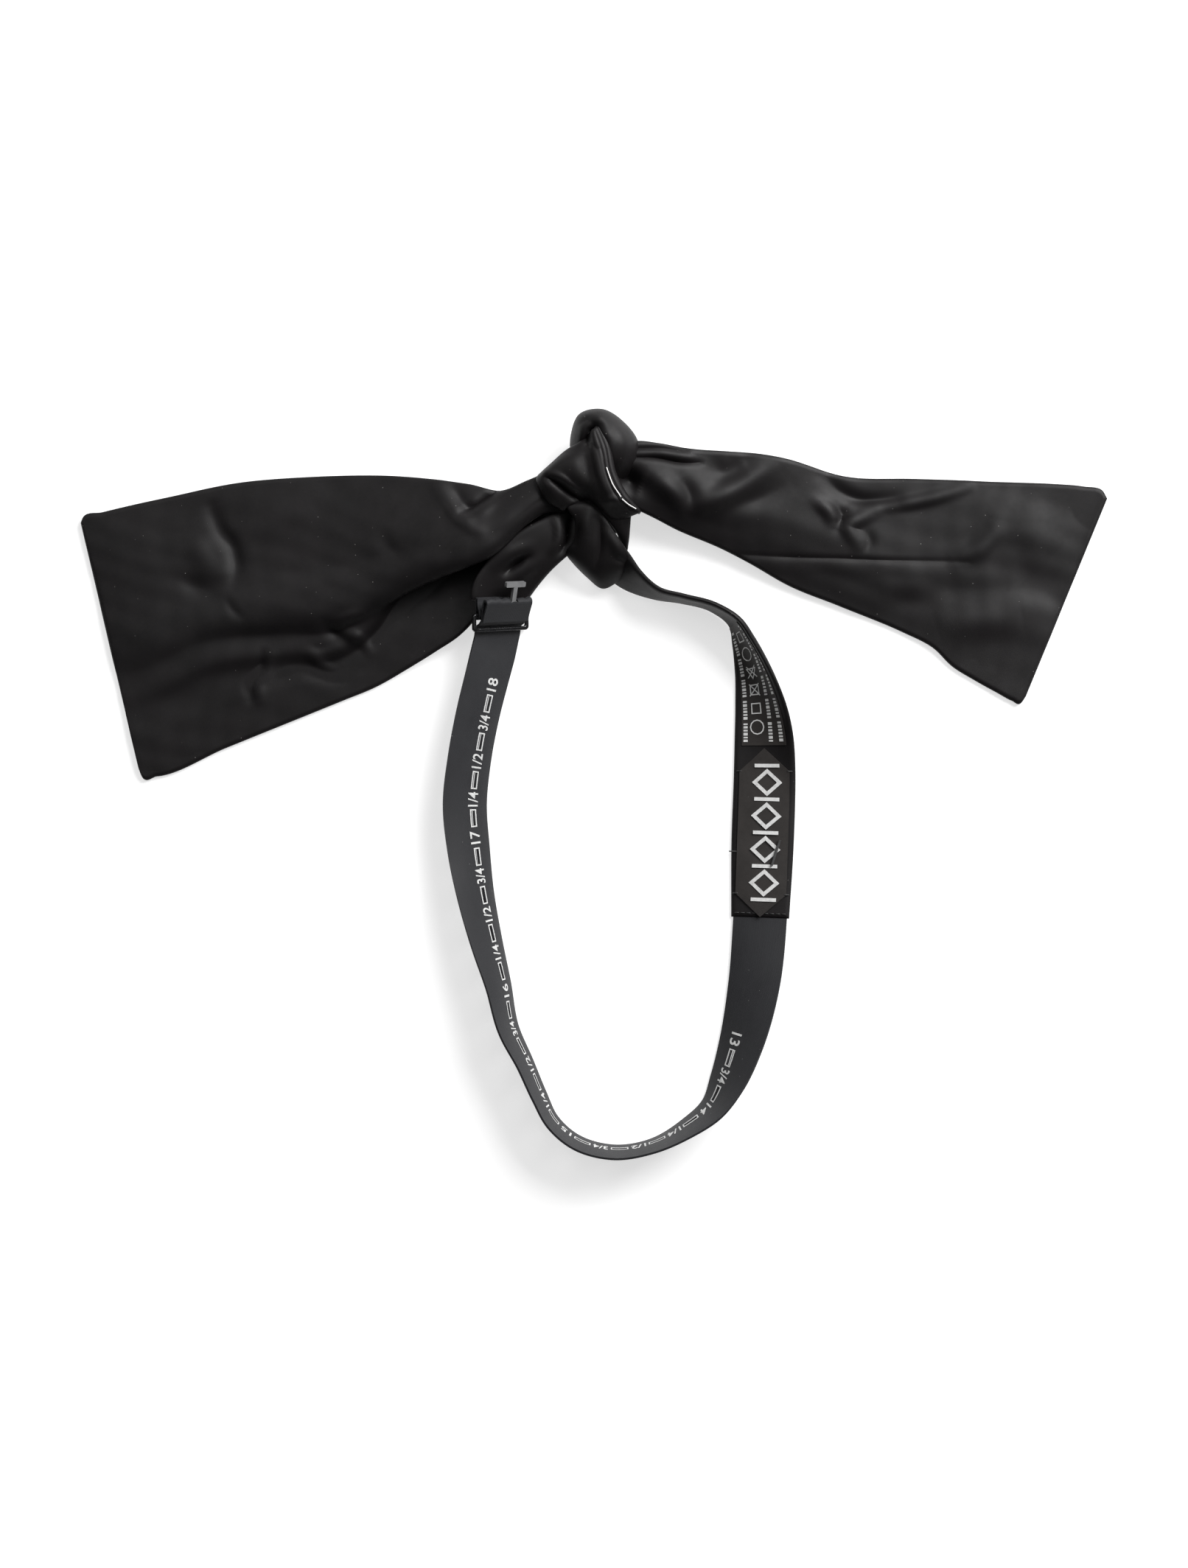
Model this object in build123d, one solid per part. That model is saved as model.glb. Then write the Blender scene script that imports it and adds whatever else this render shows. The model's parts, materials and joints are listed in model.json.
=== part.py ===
# An adjustable self-tie bow tie in black silk satin, knotted, lying face up on a table.
# Millimetres, +Z up. The blades point to -X and +X, and the neck loop hangs towards -Y.
# The origin is the middle of the bounding box's underside, on the table.
from build123d import *
import os
from math import cos, radians, sin

os.makedirs("parts", exist_ok=True)

# ---------------------------------------------------------------- cloth and tape
SILK = 0.5  # one layer of silk satin
INTERLINING = 0.9  # the wool cloth between two silks, as thick as the size tape
STACK = SILK + INTERLINING + SILK
TAPE_WIDTH = 17.5
LAYER_GAP = 0.03  # between layers that twist together
TALL = 60.0  # taller than the whole object, for cutters

# ---------------------------------------------------------------- blades, in plan
# Each blade is a wide, straight-ended wing whose upper and lower edges run in to the knot.
LEFT_BLADE = [
    (-167.0, 85.8), (-116.6, 97.2), (-73.0, 99.6), (-50.0, 97.8), (-30.0, 94.4), (-17.0, 99.0),
    (-6.0, 99.0), (-6.0, 90.0), (-17.0, 86.0), (-34.8, 73.0), (-64.6, 58.5), (-71.0, 31.3),
    (-96.2, 21.0), (-142.2, 2.6), (-147.4, 2.2),
]
LEFT_UNDER_FOLD = [
    (-84.0, 27.0), (-70.6, 31.3), (-51.4, 42.8), (-40.3, 51.0), (-35.0, 60.0), (-31.0, 72.0),
    (-42.0, 80.0), (-70.0, 66.0),
]
RIGHT_BLADE = [
    (167.2, 94.4), (164.4, 95.9), (146.4, 97.3), (81.0, 99.5), (58.3, 106.0), (29.0, 107.9),
    (13.6, 110.8), (4.0, 104.0), (4.0, 92.0), (13.6, 88.4), (26.4, 82.4), (41.8, 76.0),
    (62.2, 64.9), (100.6, 49.1), (110.6, 44.0), (117.1, 37.8), (131.0, 29.6), (139.4, 25.8),
    (150.2, 47.9), (166.3, 86.3),
]
# Underside of each blade from its tip to the knot, as (x, height).
LEFT_RISE = [(-170.0, 0.0), (-108.0, 0.0), (-70.0, 4.0), (-45.0, 9.5), (-30.0, 14.4), (0.0, 15.0)]
RIGHT_RISE = [(170.0, 0.0), (100.0, 0.0), (60.0, 4.0), (30.0, 9.0), (12.0, 12.0), (0.0, 12.6)]
UNDER_FOLD_RISE = [(-90.0, 0.0), (-30.0, 0.0)]

# ---------------------------------------------------------------- knot, in plan
KNOT_WRAP = [
    (-17.6, 98.6), (-14.6, 101.6), (-7.0, 108.6), (0.0, 110.6), (2.6, 105.0), (5.4, 99.0),
    (13.4, 89.4), (7.0, 86.6), (-2.0, 87.8), (-9.8, 89.6), (-14.8, 92.6),
]
KNOT_TOP_LOOP = [
    (-6.6, 110.6), (-4.6, 115.6), (-1.7, 120.4), (3.6, 118.6), (9.6, 115.4), (13.2, 110.0),
    (12.7, 104.5), (10.0, 100.0), (5.8, 99.8), (3.2, 105.6), (0.4, 111.2),
]
KNOT_INNER_BAND = [(2.0, 86.0), (8.0, 86.4), (12.0, 84.0), (11.3, 78.0), (9.6, 76.2), (4.0, 82.0)]
KNOT_LOWER_FOLD = [
    (-8.9, 88.0), (-6.4, 82.0), (-8.6, 75.4), (-5.0, 69.6), (2.4, 63.4), (6.4, 64.4),
    (12.6, 71.8), (9.8, 76.4), (3.0, 84.0), (-2.0, 87.6),
]
KNOT_BACK_FOLD = [(-12.0, 82.0), (-13.0, 98.0), (-5.0, 108.0), (7.0, 107.0), (12.0, 92.0), (6.0, 80.0)]
WRAP_SPAN = (17.3, 22.6)  # lowest and highest of each piece of the knot
TOP_LOOP_SPAN = (7.0, 23.4)
INNER_BAND_SPAN = (9.0, 16.4)
LOWER_FOLD_SPAN = (2.6, 15.6)
BACK_FOLD_SPAN = (0.6, 8.2)
KNOT_ROUNDING = 1.6  # height over which a fold draws in at its top and bottom
KNOT_DRAW_IN = 0.84

# ---------------------------------------------------------------- collar run
# Middle line of the size tape from the ring round to its seam, as (x, y, lean of the outer edge).
TAPE_RUN = [
    (-32.4, 43.0, 37), (-34.2, 34.2, 38), (-36.8, 22.4, 38), (-39.5, 7.6, 38), (-41.0, -7.0, 37),
    (-39.7, -21.7, 40), (-37.4, -35.6, 48), (-33.8, -51.2, 56), (-30.1, -65.2, 64),
    (-27.0, -80.0, 70), (-22.0, -90.6, 74), (-17.4, -101.4, 76), (-13.2, -109.6, 78),
    (-6.6, -115.6, 79), (6.4, -119.4, 80), (19.0, -117.4, 80), (30.0, -111.8, 74),
    (38.4, -105.2, 66), (43.2, -96.4, 52), (47.5, -84.6, 39), (52.1, -64.9, 20), (54.2, -43.8, 5),
]
# Middle line of the right neckband from that seam to the knot, as (x, y, lean, width).
NECKBAND_RUN = [
    (54.2, -43.8, 5, 18.6), (55.0, -19.8, 3, 20.0), (55.4, 10.2, 6, 19.5), (52.4, 28.0, 30, 19.0),
    (48.8, 40.4, 50, 18.0), (44.6, 50.2, 62, 17.0), (38.4, 56.6, 70, 16.0), (28.8, 60.1, 76, 15.0),
    (20.4, 62.6, 68, 15.0), (12.4, 66.6, 52, 15.0), (6.0, 72.0, 40, 14.0),
]
# Middle line of the left neckband from the knot to its end over the ring, with its heights.
LEFT_NECKBAND_RUN = [
    (-2.0, 86.0, 10.8, 12, 12.0), (-12.7, 79.3, 10.6, 16, 13.5), (-19.9, 74.0, 10.0, 22, 16.0),
    (-27.1, 66.2, 9.1, 27, 18.6), (-30.6, 61.0, 8.5, 29, 19.0),
]
SEAM_OVERLAP = 8.0  # the tape's end and the ring loop's tails lie this far inside the silk

# ---------------------------------------------------------------- slots in the size tape
SLOT_PITCH = 12.7  # half an inch of tape is a quarter inch of collar, because the tape doubles
SLOT_COUNT = 18
FIRST_SLOT_AFTER = 17.3  # from the first point of the tape's run
SLOT_LENGTH = 5.0
SLOT_WIDTH = 0.9
SLOT_OFFSET = 2.0  # the slots and the hook sit this far towards the tape's inner edge

# ---------------------------------------------------------------- ring, hook and tape end
# This hardware lies in one frame: across the tape, along it towards the knot, and out of it.
HARDWARE_ORIGIN = Vector(-31.0, 50.3, 6.2)
HARDWARE_ACROSS = Vector(0.82, 0.06, -0.57).normalized()
HARDWARE_TOWARDS_KNOT = Vector(0.14, 0.95, 0.30)
HARDWARE_OUT = HARDWARE_ACROSS.cross(HARDWARE_TOWARDS_KNOT).normalized()
RING_WIRE = 1.3
RING_INNER_WIDTH = TAPE_WIDTH + 1.6
RING_PIVOT = (4.6, 0.2)  # middle of the ring's held bar: along the tape, out of the tape
RING_FREE_BAR = (0.0, 1.4)
RING_CORNER = 1.3
RING_EDGE = 0.455
LOOP_WIDTH = 16.0
LOOP_BORE = 0.95  # radius
LOOP_OUTER = 1.55  # radius
TAPE_OVER_LOOP = 2.35  # how far out the tape lies once it is over the ring loop
HEM_START = 7.2
HEM_END = 10.8
HEM_THICKNESS = 3.0
HEM_NOTCH = (2.5, 3.3)  # width and depth of the opening that the stem swings through
TAPE_OVER_LOOP_AT = 3.0  # where along the hardware the tape is fully over the ring loop
TAPE_UNDER_RING = (0.9, -2.5)  # the stretch of tape that lies level with the run, under the ring
HOOK_PIVOT = (9.3, 3.35)
HOOK_BAR_RADIUS = 0.7
HOOK_BAR_LENGTH = 8.0
HOOK_BAR_ROOM = (0.2, 0.6)  # how much wider and longer the fold's tunnel is than the bar
HOOK_PLATE = 1.2
HOOK_STEM_WIDTH = 1.5
HOOK_TEE = (7.4, 1.7)  # length across the tape, height along it
HOOK_TEE_CORNER = 0.4
HOOK_REACH = 7.2  # from the pivot to the far edge of the tee

# ---------------------------------------------------------------- labels and trimmings
LABEL = 0.3
LABEL_GAP = 0.6  # the maker's label is held only at its ends, and the tag's thread lies under it
MAKER_LABEL_LENGTH = 55.0
MAKER_LABEL_WIDTH = 16.5
MAKER_LABEL_POINT = 7.5
MAKER_LABEL_AFTER_SEAM = 27.6  # to its middle, along the neckband
CARE_LABEL_SPAN = (56.0, 98.0)  # from the seam, along the neckband
CARE_LABEL_WIDTH = 15.0
CARE_LABEL_GAP = 0.15
THREAD = 0.5
TACK_LENGTH = 1.5
STITCH_COUNT = 9
STITCH_MARGIN = 2.0  # left at a ribbon's two edges together
STITCH_SHARE = 0.7  # of the pitch between two stitches
SEAM_STITCHES_AFTER = 1.2  # along the neckband
BARB_AFTER_SEAM = 21.2  # along the neckband
BARB_OFFSET = 4.4  # towards the band's outer edge
BARB_LENGTH = 8.8
BARB_RADIUS = 0.45
BARB_GAP = 0.12  # between the bar and the label
BARB_HEADING = 74.0
BARB_THREAD_RUN = 15.2  # from the bar, under the label, to past the band's inner edge
TACKING_STITCHES = [((4.6, 100.9), (8.4, 96.2)), ((9.4, 94.6), (13.0, 90.4))]


def largest(shape):
    return shape.solids().sort_by(SortBy.VOLUME)[-1]


def cut_by(piece, others):
    """What is left of a piece where its neighbours take their room first."""
    for other in others:
        piece = largest(piece - other)
    return piece


# ---------------------------------------------------------------- flat cloth
def bent_layer(outline, rise, lift, thickness):
    """A layer of cloth cut to an outline in plan and bent to a side profile along X."""
    cut = extrude(make_face(Polyline(*outline, close=True)), amount=TALL)
    lower = [(x, z + lift) for x, z in rise]
    upper = [(x, z + lift + thickness) for x, z in reversed(rise)]
    side = Plane.XZ * make_face(Polyline(*lower, *upper, close=True))
    return largest(cut & extrude(side, amount=3 * TALL, both=True))


def blade(outline, rise):
    """Back silk, interlining and front silk of one blade."""
    back = bent_layer(outline, rise, 0, SILK)
    middle = bent_layer(outline, rise, SILK, INTERLINING)
    front = bent_layer(outline, rise, SILK + INTERLINING, SILK)
    return back, middle, front


def fold_of_silk(outline, span):
    """A bundle of folded silk: a smooth outline in plan that draws in at its top and bottom."""
    low, high = span
    middle_x = sum(x for x, _ in outline) / len(outline)
    middle_y = sum(y for _, y in outline) / len(outline)
    levels = [(low, KNOT_DRAW_IN), (low + KNOT_ROUNDING, 1), (high - KNOT_ROUNDING, 1), (high, KNOT_DRAW_IN)]
    rings = []
    for height, size in levels:
        points = [
            (middle_x + (x - middle_x) * size, middle_y + (y - middle_y) * size, height)
            for x, y in outline
        ]
        rings.append(Wire(Spline(*points, periodic=True)))
    return Solid.make_loft(rings, ruled=True)


# ---------------------------------------------------------------- ribbons
class Station:
    """One cross-section of a ribbon: its middle, its two directions and its width."""

    def __init__(self, middle, across, out, width):
        self.middle = middle
        self.across = across
        self.out = out
        self.width = width

    def section(self, lift, thickness, width):
        half = self.across * (width or self.width) / 2
        low = self.middle + self.out * (lift - thickness / 2)
        high = self.middle + self.out * (lift + thickness / 2)
        return Wire(Polyline(low - half, low + half, high + half, high - half, close=True))

    def towards(self, other, share):
        """The station part of the way to the next one."""
        across = (self.across * (1 - share) + other.across * share).normalized()
        out = (self.out * (1 - share) + other.out * share).normalized()
        middle = self.middle * (1 - share) + other.middle * share
        return Station(middle, across, out, self.width * (1 - share) + other.width * share)


def leaning_stations(points, heights=None):
    """Stations along a line in plan whose outer edge is lifted by the lean, in degrees.
    Without heights, the inner edge rests on the table."""
    middles = [Vector(x, y) for x, y, _, _ in points]
    stations = []
    for index, (_, _, lean, width) in enumerate(points):
        before = middles[max(index - 1, 0)]
        after = middles[min(index + 1, len(middles) - 1)]
        along = (after - before).normalized()
        outward = Vector(along.Y, -along.X)
        across = outward * cos(radians(lean)) + Vector(0, 0, sin(radians(lean)))
        out = across.cross(along).normalized()
        height = width / 2 * sin(radians(lean)) + (STACK / 2 + LAYER_GAP) * cos(radians(lean))
        if heights:
            height = heights[index]
        stations.append(Station(middles[index] + Vector(0, 0, height), across, out, width))
    return stations


def ribbon(stations, lift, thickness, width=None):
    return Solid.make_loft([s.section(lift, thickness, width) for s in stations], ruled=True)


def length_of(stations):
    return sum((b.middle - a.middle).length for a, b in zip(stations, stations[1:]))


def station_at(stations, distance):
    """The cross-section at a distance along a ribbon."""
    for a, b in zip(stations, stations[1:]):
        step = (b.middle - a.middle).length
        if distance <= step:
            return a.towards(b, distance / step)
        distance -= step
    return stations[-1]


def stretch(stations, start, end):
    """The stations between two distances along a ribbon."""
    kept = [station_at(stations, start)]
    travelled = 0
    for a, b in zip(stations, stations[1:]):
        travelled += (b.middle - a.middle).length
        if start < travelled < end:
            kept.append(b)
    return kept + [station_at(stations, end)]


# ---------------------------------------------------------------- the hardware frame
HARDWARE = Plane(origin=HARDWARE_ORIGIN, x_dir=HARDWARE_ACROSS, z_dir=HARDWARE_OUT).location


def hardware_station(along, out):
    middle = HARDWARE_ORIGIN + HARDWARE_OUT.cross(HARDWARE_ACROSS) * along + HARDWARE_OUT * out
    return Station(middle, HARDWARE_ACROSS * -1, HARDWARE_OUT, TAPE_WIDTH)


def bar_across(pivot, radius, length, offset=0):
    """A round bar lying across the tape, in the hardware frame."""
    return Pos(offset, *pivot) * Rot(0, 90, 0) * Cylinder(radius, length)


def size_tape(run):
    """The grosgrain tape: round the collar, under the ring's free bar, over the ring loop and
    folded round the hook's bar."""
    end = [
        hardware_station(HEM_END, TAPE_OVER_LOOP),
        hardware_station(TAPE_OVER_LOOP_AT, TAPE_OVER_LOOP),
        hardware_station(TAPE_UNDER_RING[0], 0),
        hardware_station(TAPE_UNDER_RING[1], 0),
    ]
    tape = ribbon(end + run, 0, INTERLINING, TAPE_WIDTH)
    for index in range(SLOT_COUNT):
        station = station_at(run, FIRST_SLOT_AFTER + index * SLOT_PITCH)
        middle = station.middle - station.across * SLOT_OFFSET
        place = Plane(origin=middle, x_dir=station.across, z_dir=station.out).location
        tape = tape - place * Box(SLOT_WIDTH, SLOT_LENGTH, 4 * INTERLINING)
    underside = TAPE_OVER_LOOP - INTERLINING / 2
    hem_middle = (HEM_START + HEM_END) / 2
    hem = Pos(0, hem_middle, underside + HEM_THICKNESS / 2) * Box(
        TAPE_WIDTH, HEM_END - HEM_START, HEM_THICKNESS
    )
    around, beyond = HOOK_BAR_ROOM
    bore = bar_across(HOOK_PIVOT, HOOK_BAR_RADIUS + around, HOOK_BAR_LENGTH + beyond, SLOT_OFFSET)
    notch_width, notch_depth = HEM_NOTCH
    notch = Pos(SLOT_OFFSET, HEM_END, HOOK_PIVOT[1]) * Box(notch_width, 2 * notch_depth, 2 * HEM_THICKNESS)
    return largest((tape + HARDWARE * hem) - HARDWARE * bore - HARDWARE * notch)


def ring_loop(neckband_end):
    """The grosgrain loop that holds the ring: round its bar, then up into the neckband."""
    tail = ribbon(neckband_end, 0, INTERLINING, LOOP_WIDTH)
    eye = bar_across(RING_PIVOT, LOOP_OUTER, LOOP_WIDTH)
    bore = bar_across(RING_PIVOT, LOOP_BORE, 2 * LOOP_WIDTH)
    return largest((tail + HARDWARE * eye) - HARDWARE * bore)


def slide_ring():
    """A rounded rectangle of flattened wire."""
    rise = RING_FREE_BAR[1] - RING_PIVOT[1]
    run = RING_PIVOT[0] - RING_FREE_BAR[0]
    height = (rise**2 + run**2) ** 0.5
    outer = RectangleRounded(RING_INNER_WIDTH + 2 * RING_WIRE, height + RING_WIRE, RING_CORNER)
    inner = RectangleRounded(RING_INNER_WIDTH, height - RING_WIRE, RING_CORNER / 2)
    ring = Pos(0, -height / 2, -RING_WIRE / 2) * extrude(outer - inner, amount=RING_WIRE)
    ring = fillet(ring.edges().filter_by(Axis.Z, reverse=True), RING_EDGE)
    pitch = Vector(0, run, rise).get_angle(Vector(0, 1, 0))
    return HARDWARE * Pos(0, *RING_PIVOT) * Rot(-pitch, 0, 0) * ring


def t_hook():
    """The base bar, the stem and the tee."""
    along, out = HOOK_PIVOT
    tee_length, tee_height = HOOK_TEE
    bar = bar_across(HOOK_PIVOT, HOOK_BAR_RADIUS, HOOK_BAR_LENGTH, SLOT_OFFSET)
    stem = Pos(SLOT_OFFSET, along + HOOK_REACH / 2, out) * Box(HOOK_STEM_WIDTH, HOOK_REACH, HOOK_PLATE)
    tee = Pos(SLOT_OFFSET, along + HOOK_REACH - tee_height / 2, out) * Box(
        tee_length, tee_height, HOOK_PLATE
    )
    tee = fillet(tee.edges().filter_by(Axis.Z), HOOK_TEE_CORNER)
    return HARDWARE * largest(bar + stem + tee)


# ---------------------------------------------------------------- labels and trimmings
def frame_of(station):
    """Across the ribbon towards its outer edge, along it, and out of its upper face."""
    return Plane(origin=station.middle, x_dir=station.across, z_dir=station.out).location


def maker_label(run, middle):
    """A plain woven label with a pointed top and bottom, loose between its tacked ends."""
    half_width = MAKER_LABEL_WIDTH / 2
    half_length = MAKER_LABEL_LENGTH / 2
    shoulder = half_length - MAKER_LABEL_POINT
    outline = [
        (0, half_length), (half_width, shoulder), (half_width, -shoulder),
        (0, -half_length), (-half_width, -shoulder), (-half_width, shoulder),
    ]
    cut = extrude(make_face(Polyline(*outline, close=True)), amount=TALL, both=True)
    lift = STACK / 2 + LABEL_GAP + LABEL / 2
    cloth = ribbon(stretch(run, middle - half_length, middle + half_length), lift, LABEL)
    hole = barb_frame(run) * Cylinder(THREAD, TALL)
    return largest((cloth & frame_of(station_at(run, middle)) * cut) - hole)


def label_tacks(run, middle):
    """Four stitches just outside the label's shoulders."""
    offset = MAKER_LABEL_WIDTH / 2 + THREAD
    shoulder = MAKER_LABEL_LENGTH / 2 - MAKER_LABEL_POINT
    tacks = []
    for side in (-1, 1):
        for end in (-1, 1):
            place = frame_of(station_at(run, middle + end * shoulder))
            tack = Box(THREAD, TACK_LENGTH, THREAD)
            tacks.append(place * Pos(side * offset, 0, STACK / 2 + LAYER_GAP + THREAD / 2) * tack)
    return Compound(tacks)


def barb_frame(run):
    return frame_of(station_at(run, BARB_AFTER_SEAM)) * Pos(BARB_OFFSET, 0, 0)


def tag_barb(run):
    """A nylon tag pin: its bar lies on the label, and its cut thread runs out under the label."""
    low = STACK / 2 + LAYER_GAP
    bar_height = STACK / 2 + LABEL_GAP + LABEL + BARB_GAP + BARB_RADIUS
    bar = Pos(0, 0, bar_height) * Rot(0, 0, BARB_HEADING) * Rot(0, 90, 0) * Cylinder(
        BARB_RADIUS, BARB_LENGTH
    )
    thread_height = low + THREAD / 2
    corners = [(0, 0, bar_height), (0, 0, thread_height), (-BARB_THREAD_RUN, 0, thread_height)]
    line = FilletPolyline(*corners, radius=THREAD)
    thread = sweep(Plane(line @ 0, z_dir=line % 0) * Circle(THREAD / 2), path=line)
    return barb_frame(run) * largest(bar + thread)


def row_of_stitches(station, count, lift):
    """Short stitches in a row across a ribbon."""
    pitch = (station.width - STITCH_MARGIN) / count
    place = frame_of(station)
    stitches = []
    for index in range(count):
        offset = (index - (count - 1) / 2) * pitch
        stitch = Box(STITCH_SHARE * pitch, THREAD, THREAD / 2)
        stitches.append(place * Pos(offset, 0, lift + THREAD / 4) * stitch)
    return Compound(stitches)


def tacking_thread(height):
    """Two long white stitches left along the edge of the knot's wrap."""
    stitches = []
    for start, end in TACKING_STITCHES:
        line = Line((*start, height), (*end, height))
        stitches.append(sweep(Plane(line @ 0, z_dir=line % 0) * Circle(THREAD / 2), path=line))
    return Compound([stitch.solid() for stitch in stitches])


# ---------------------------------------------------------------- build
pieces = {}

collar_run = leaning_stations(
    [(x, y, lean, TAPE_WIDTH) for x, y, lean in TAPE_RUN] + NECKBAND_RUN
)
tape_run = collar_run[: len(TAPE_RUN) + 1]
right_run = collar_run[len(TAPE_RUN) :]
left_run = leaning_stations(
    [(x, y, lean, width) for x, y, _, lean, width in LEFT_NECKBAND_RUN],
    [height for _, _, height, _, _ in LEFT_NECKBAND_RUN],
)
right_length = length_of(right_run)
left_length = length_of(left_run)
silk_lift = (INTERLINING + SILK) / 2 + LAYER_GAP

# The size tape and the two neckbands, with the tape and the ring loop sewn in between their silks.
pieces["size_tape"] = size_tape(tape_run + stretch(right_run, 0, SEAM_OVERLAP)[1:])
pieces["right_neckband_inner_silk"] = ribbon(right_run, silk_lift, SILK)
pieces["right_neckband_outer_silk"] = ribbon(right_run, -silk_lift, SILK)
pieces["right_neckband_interlining"] = ribbon(
    stretch(right_run, SEAM_OVERLAP, right_length), 0, INTERLINING
)
pieces["left_neckband_front_silk"] = ribbon(left_run, silk_lift, SILK)
pieces["left_neckband_back_silk"] = ribbon(left_run, -silk_lift, SILK)
pieces["left_neckband_interlining"] = ribbon(
    stretch(left_run, 0, left_length - SEAM_OVERLAP), 0, INTERLINING
)
neckbands = [piece for name, piece in pieces.items() if "neckband" in name]

loop_top = hardware_station(RING_PIVOT[0] + LOOP_OUTER, RING_PIVOT[1])
pieces["ring_loop"] = ring_loop(stretch(left_run, left_length - SEAM_OVERLAP, left_length) + [loop_top])
pieces["slide_ring"] = slide_ring()
pieces["t_hook"] = t_hook()

# The knot, from its top layer down: each piece gives way to the ones that lie over it.
wrap = fold_of_silk(KNOT_WRAP, WRAP_SPAN)
top_loop = cut_by(fold_of_silk(KNOT_TOP_LOOP, TOP_LOOP_SPAN), [wrap])
blades = []
for side, outline, rise in (("left", LEFT_BLADE, LEFT_RISE), ("right", RIGHT_BLADE, RIGHT_RISE)):
    layers = [cut_by(layer, [wrap, top_loop, *blades]) for layer in blade(outline, rise)]
    for layer_name, layer in zip(("back_silk", "interlining", "front_silk"), layers):
        pieces[f"{side}_blade_{layer_name}"] = layer
    blades += layers
inner_band = cut_by(fold_of_silk(KNOT_INNER_BAND, INNER_BAND_SPAN), [wrap, *blades, *neckbands])
lower_fold = cut_by(
    fold_of_silk(KNOT_LOWER_FOLD, LOWER_FOLD_SPAN), [wrap, *blades, *neckbands, inner_band]
)
back_fold = cut_by(
    fold_of_silk(KNOT_BACK_FOLD, BACK_FOLD_SPAN), [*neckbands, top_loop, inner_band, lower_fold]
)
pieces["left_blade_under_fold"] = bent_layer(LEFT_UNDER_FOLD, UNDER_FOLD_RISE, 0, STACK)
pieces["knot_wrap"] = wrap
pieces["knot_top_loop"] = top_loop
pieces["knot_inner_band"] = inner_band
pieces["knot_lower_fold"] = lower_fold
pieces["knot_back_fold"] = back_fold

pieces["maker_label"] = maker_label(right_run, MAKER_LABEL_AFTER_SEAM)
pieces["label_tacks"] = label_tacks(right_run, MAKER_LABEL_AFTER_SEAM)
pieces["tag_barb"] = tag_barb(right_run)
pieces["care_label"] = ribbon(
    stretch(right_run, *CARE_LABEL_SPAN), STACK / 2 + CARE_LABEL_GAP + LABEL / 2, LABEL, CARE_LABEL_WIDTH
)
pieces["hem_stitching"] = row_of_stitches(
    hardware_station(HEM_START - 1, TAPE_OVER_LOOP), STITCH_COUNT, INTERLINING / 2
)
pieces["seam_stitching"] = row_of_stitches(
    station_at(right_run, SEAM_STITCHES_AFTER), STITCH_COUNT, STACK / 2 + LAYER_GAP
)
pieces["tacking_thread"] = tacking_thread(WRAP_SPAN[1] + THREAD / 2)

# Everything moves together so that the middle of the bounding box's underside is the origin.
bounds = Compound(list(pieces.values())).bounding_box()
middle = bounds.center()
for name, piece in pieces.items():
    export_step(Pos(-middle.X, -middle.Y, -bounds.min.Z) * piece, f"parts/{name}.step")
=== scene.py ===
import json
import math

import bpy
import numpy as np
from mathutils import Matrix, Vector


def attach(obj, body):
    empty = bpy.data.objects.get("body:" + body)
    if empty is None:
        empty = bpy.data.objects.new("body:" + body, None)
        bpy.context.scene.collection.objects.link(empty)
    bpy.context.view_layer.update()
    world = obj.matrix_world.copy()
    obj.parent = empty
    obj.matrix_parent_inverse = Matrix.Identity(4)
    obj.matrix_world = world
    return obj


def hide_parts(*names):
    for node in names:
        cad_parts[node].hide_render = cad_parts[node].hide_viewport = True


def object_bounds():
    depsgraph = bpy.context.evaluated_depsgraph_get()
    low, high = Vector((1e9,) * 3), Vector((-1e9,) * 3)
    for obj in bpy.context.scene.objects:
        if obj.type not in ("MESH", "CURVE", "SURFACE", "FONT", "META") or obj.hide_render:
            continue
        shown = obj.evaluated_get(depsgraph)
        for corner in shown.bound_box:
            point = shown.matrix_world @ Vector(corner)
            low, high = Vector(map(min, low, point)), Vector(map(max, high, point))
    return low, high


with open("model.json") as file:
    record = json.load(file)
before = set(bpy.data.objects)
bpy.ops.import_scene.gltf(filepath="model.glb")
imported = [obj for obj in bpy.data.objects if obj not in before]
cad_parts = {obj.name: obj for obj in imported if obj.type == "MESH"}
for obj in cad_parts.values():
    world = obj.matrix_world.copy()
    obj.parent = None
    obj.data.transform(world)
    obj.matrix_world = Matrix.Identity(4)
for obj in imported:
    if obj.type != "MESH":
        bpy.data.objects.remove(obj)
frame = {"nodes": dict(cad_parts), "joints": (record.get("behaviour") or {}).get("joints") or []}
cad_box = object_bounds()
MM = 0.001

# ---------------------------------------------------------------- table, lamps and camera
# The bow tie lies on a plain white table, under a bright ceiling and two wide soft lamps. The table
# glows with painted light that washes out the shadows cast on it. The camera looks straight down on the
# middle of the object.
CAMERA_HEIGHT = 1.42
TABLE_GAP = 0.3 * MM  # from the frame's floor down to the table
LAMPS = [
    # place, width, watts
    ((0.75, 0.8, 0.85), 0.8, 32.0),
    ((-0.9, 0.7, 1.1), 0.9, 4.0),
]
BRIGHT_SIDE = (0.34, 0.5, 0.8)
CEILING_LIGHT = 0.62
WALL_LIGHT = 0.015
# painted light: the table's own glow, which fills in the shadows cast on it and lights the object from below
TABLE_GLOW = 0.62

bpy.ops.object.select_all(action="DESELECT")
bpy.ops.mesh.primitive_plane_add(size=6)
table = bpy.context.object
table.name = "table"
table.data.transform(table.matrix_world)
for vertex in table.data.vertices:
    vertex.co.z = cad_box[0].z - TABLE_GAP
table_paint_and_glow = bpy.data.materials.new("table_paint_and_glow")
table_paint_and_glow.use_nodes = True
table_surface = table_paint_and_glow.node_tree.nodes["Principled BSDF"]
table_surface.inputs["Base Color"].default_value = (0.55, 0.55, 0.55, 1)
table_surface.inputs["Roughness"].default_value = 0.9
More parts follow.
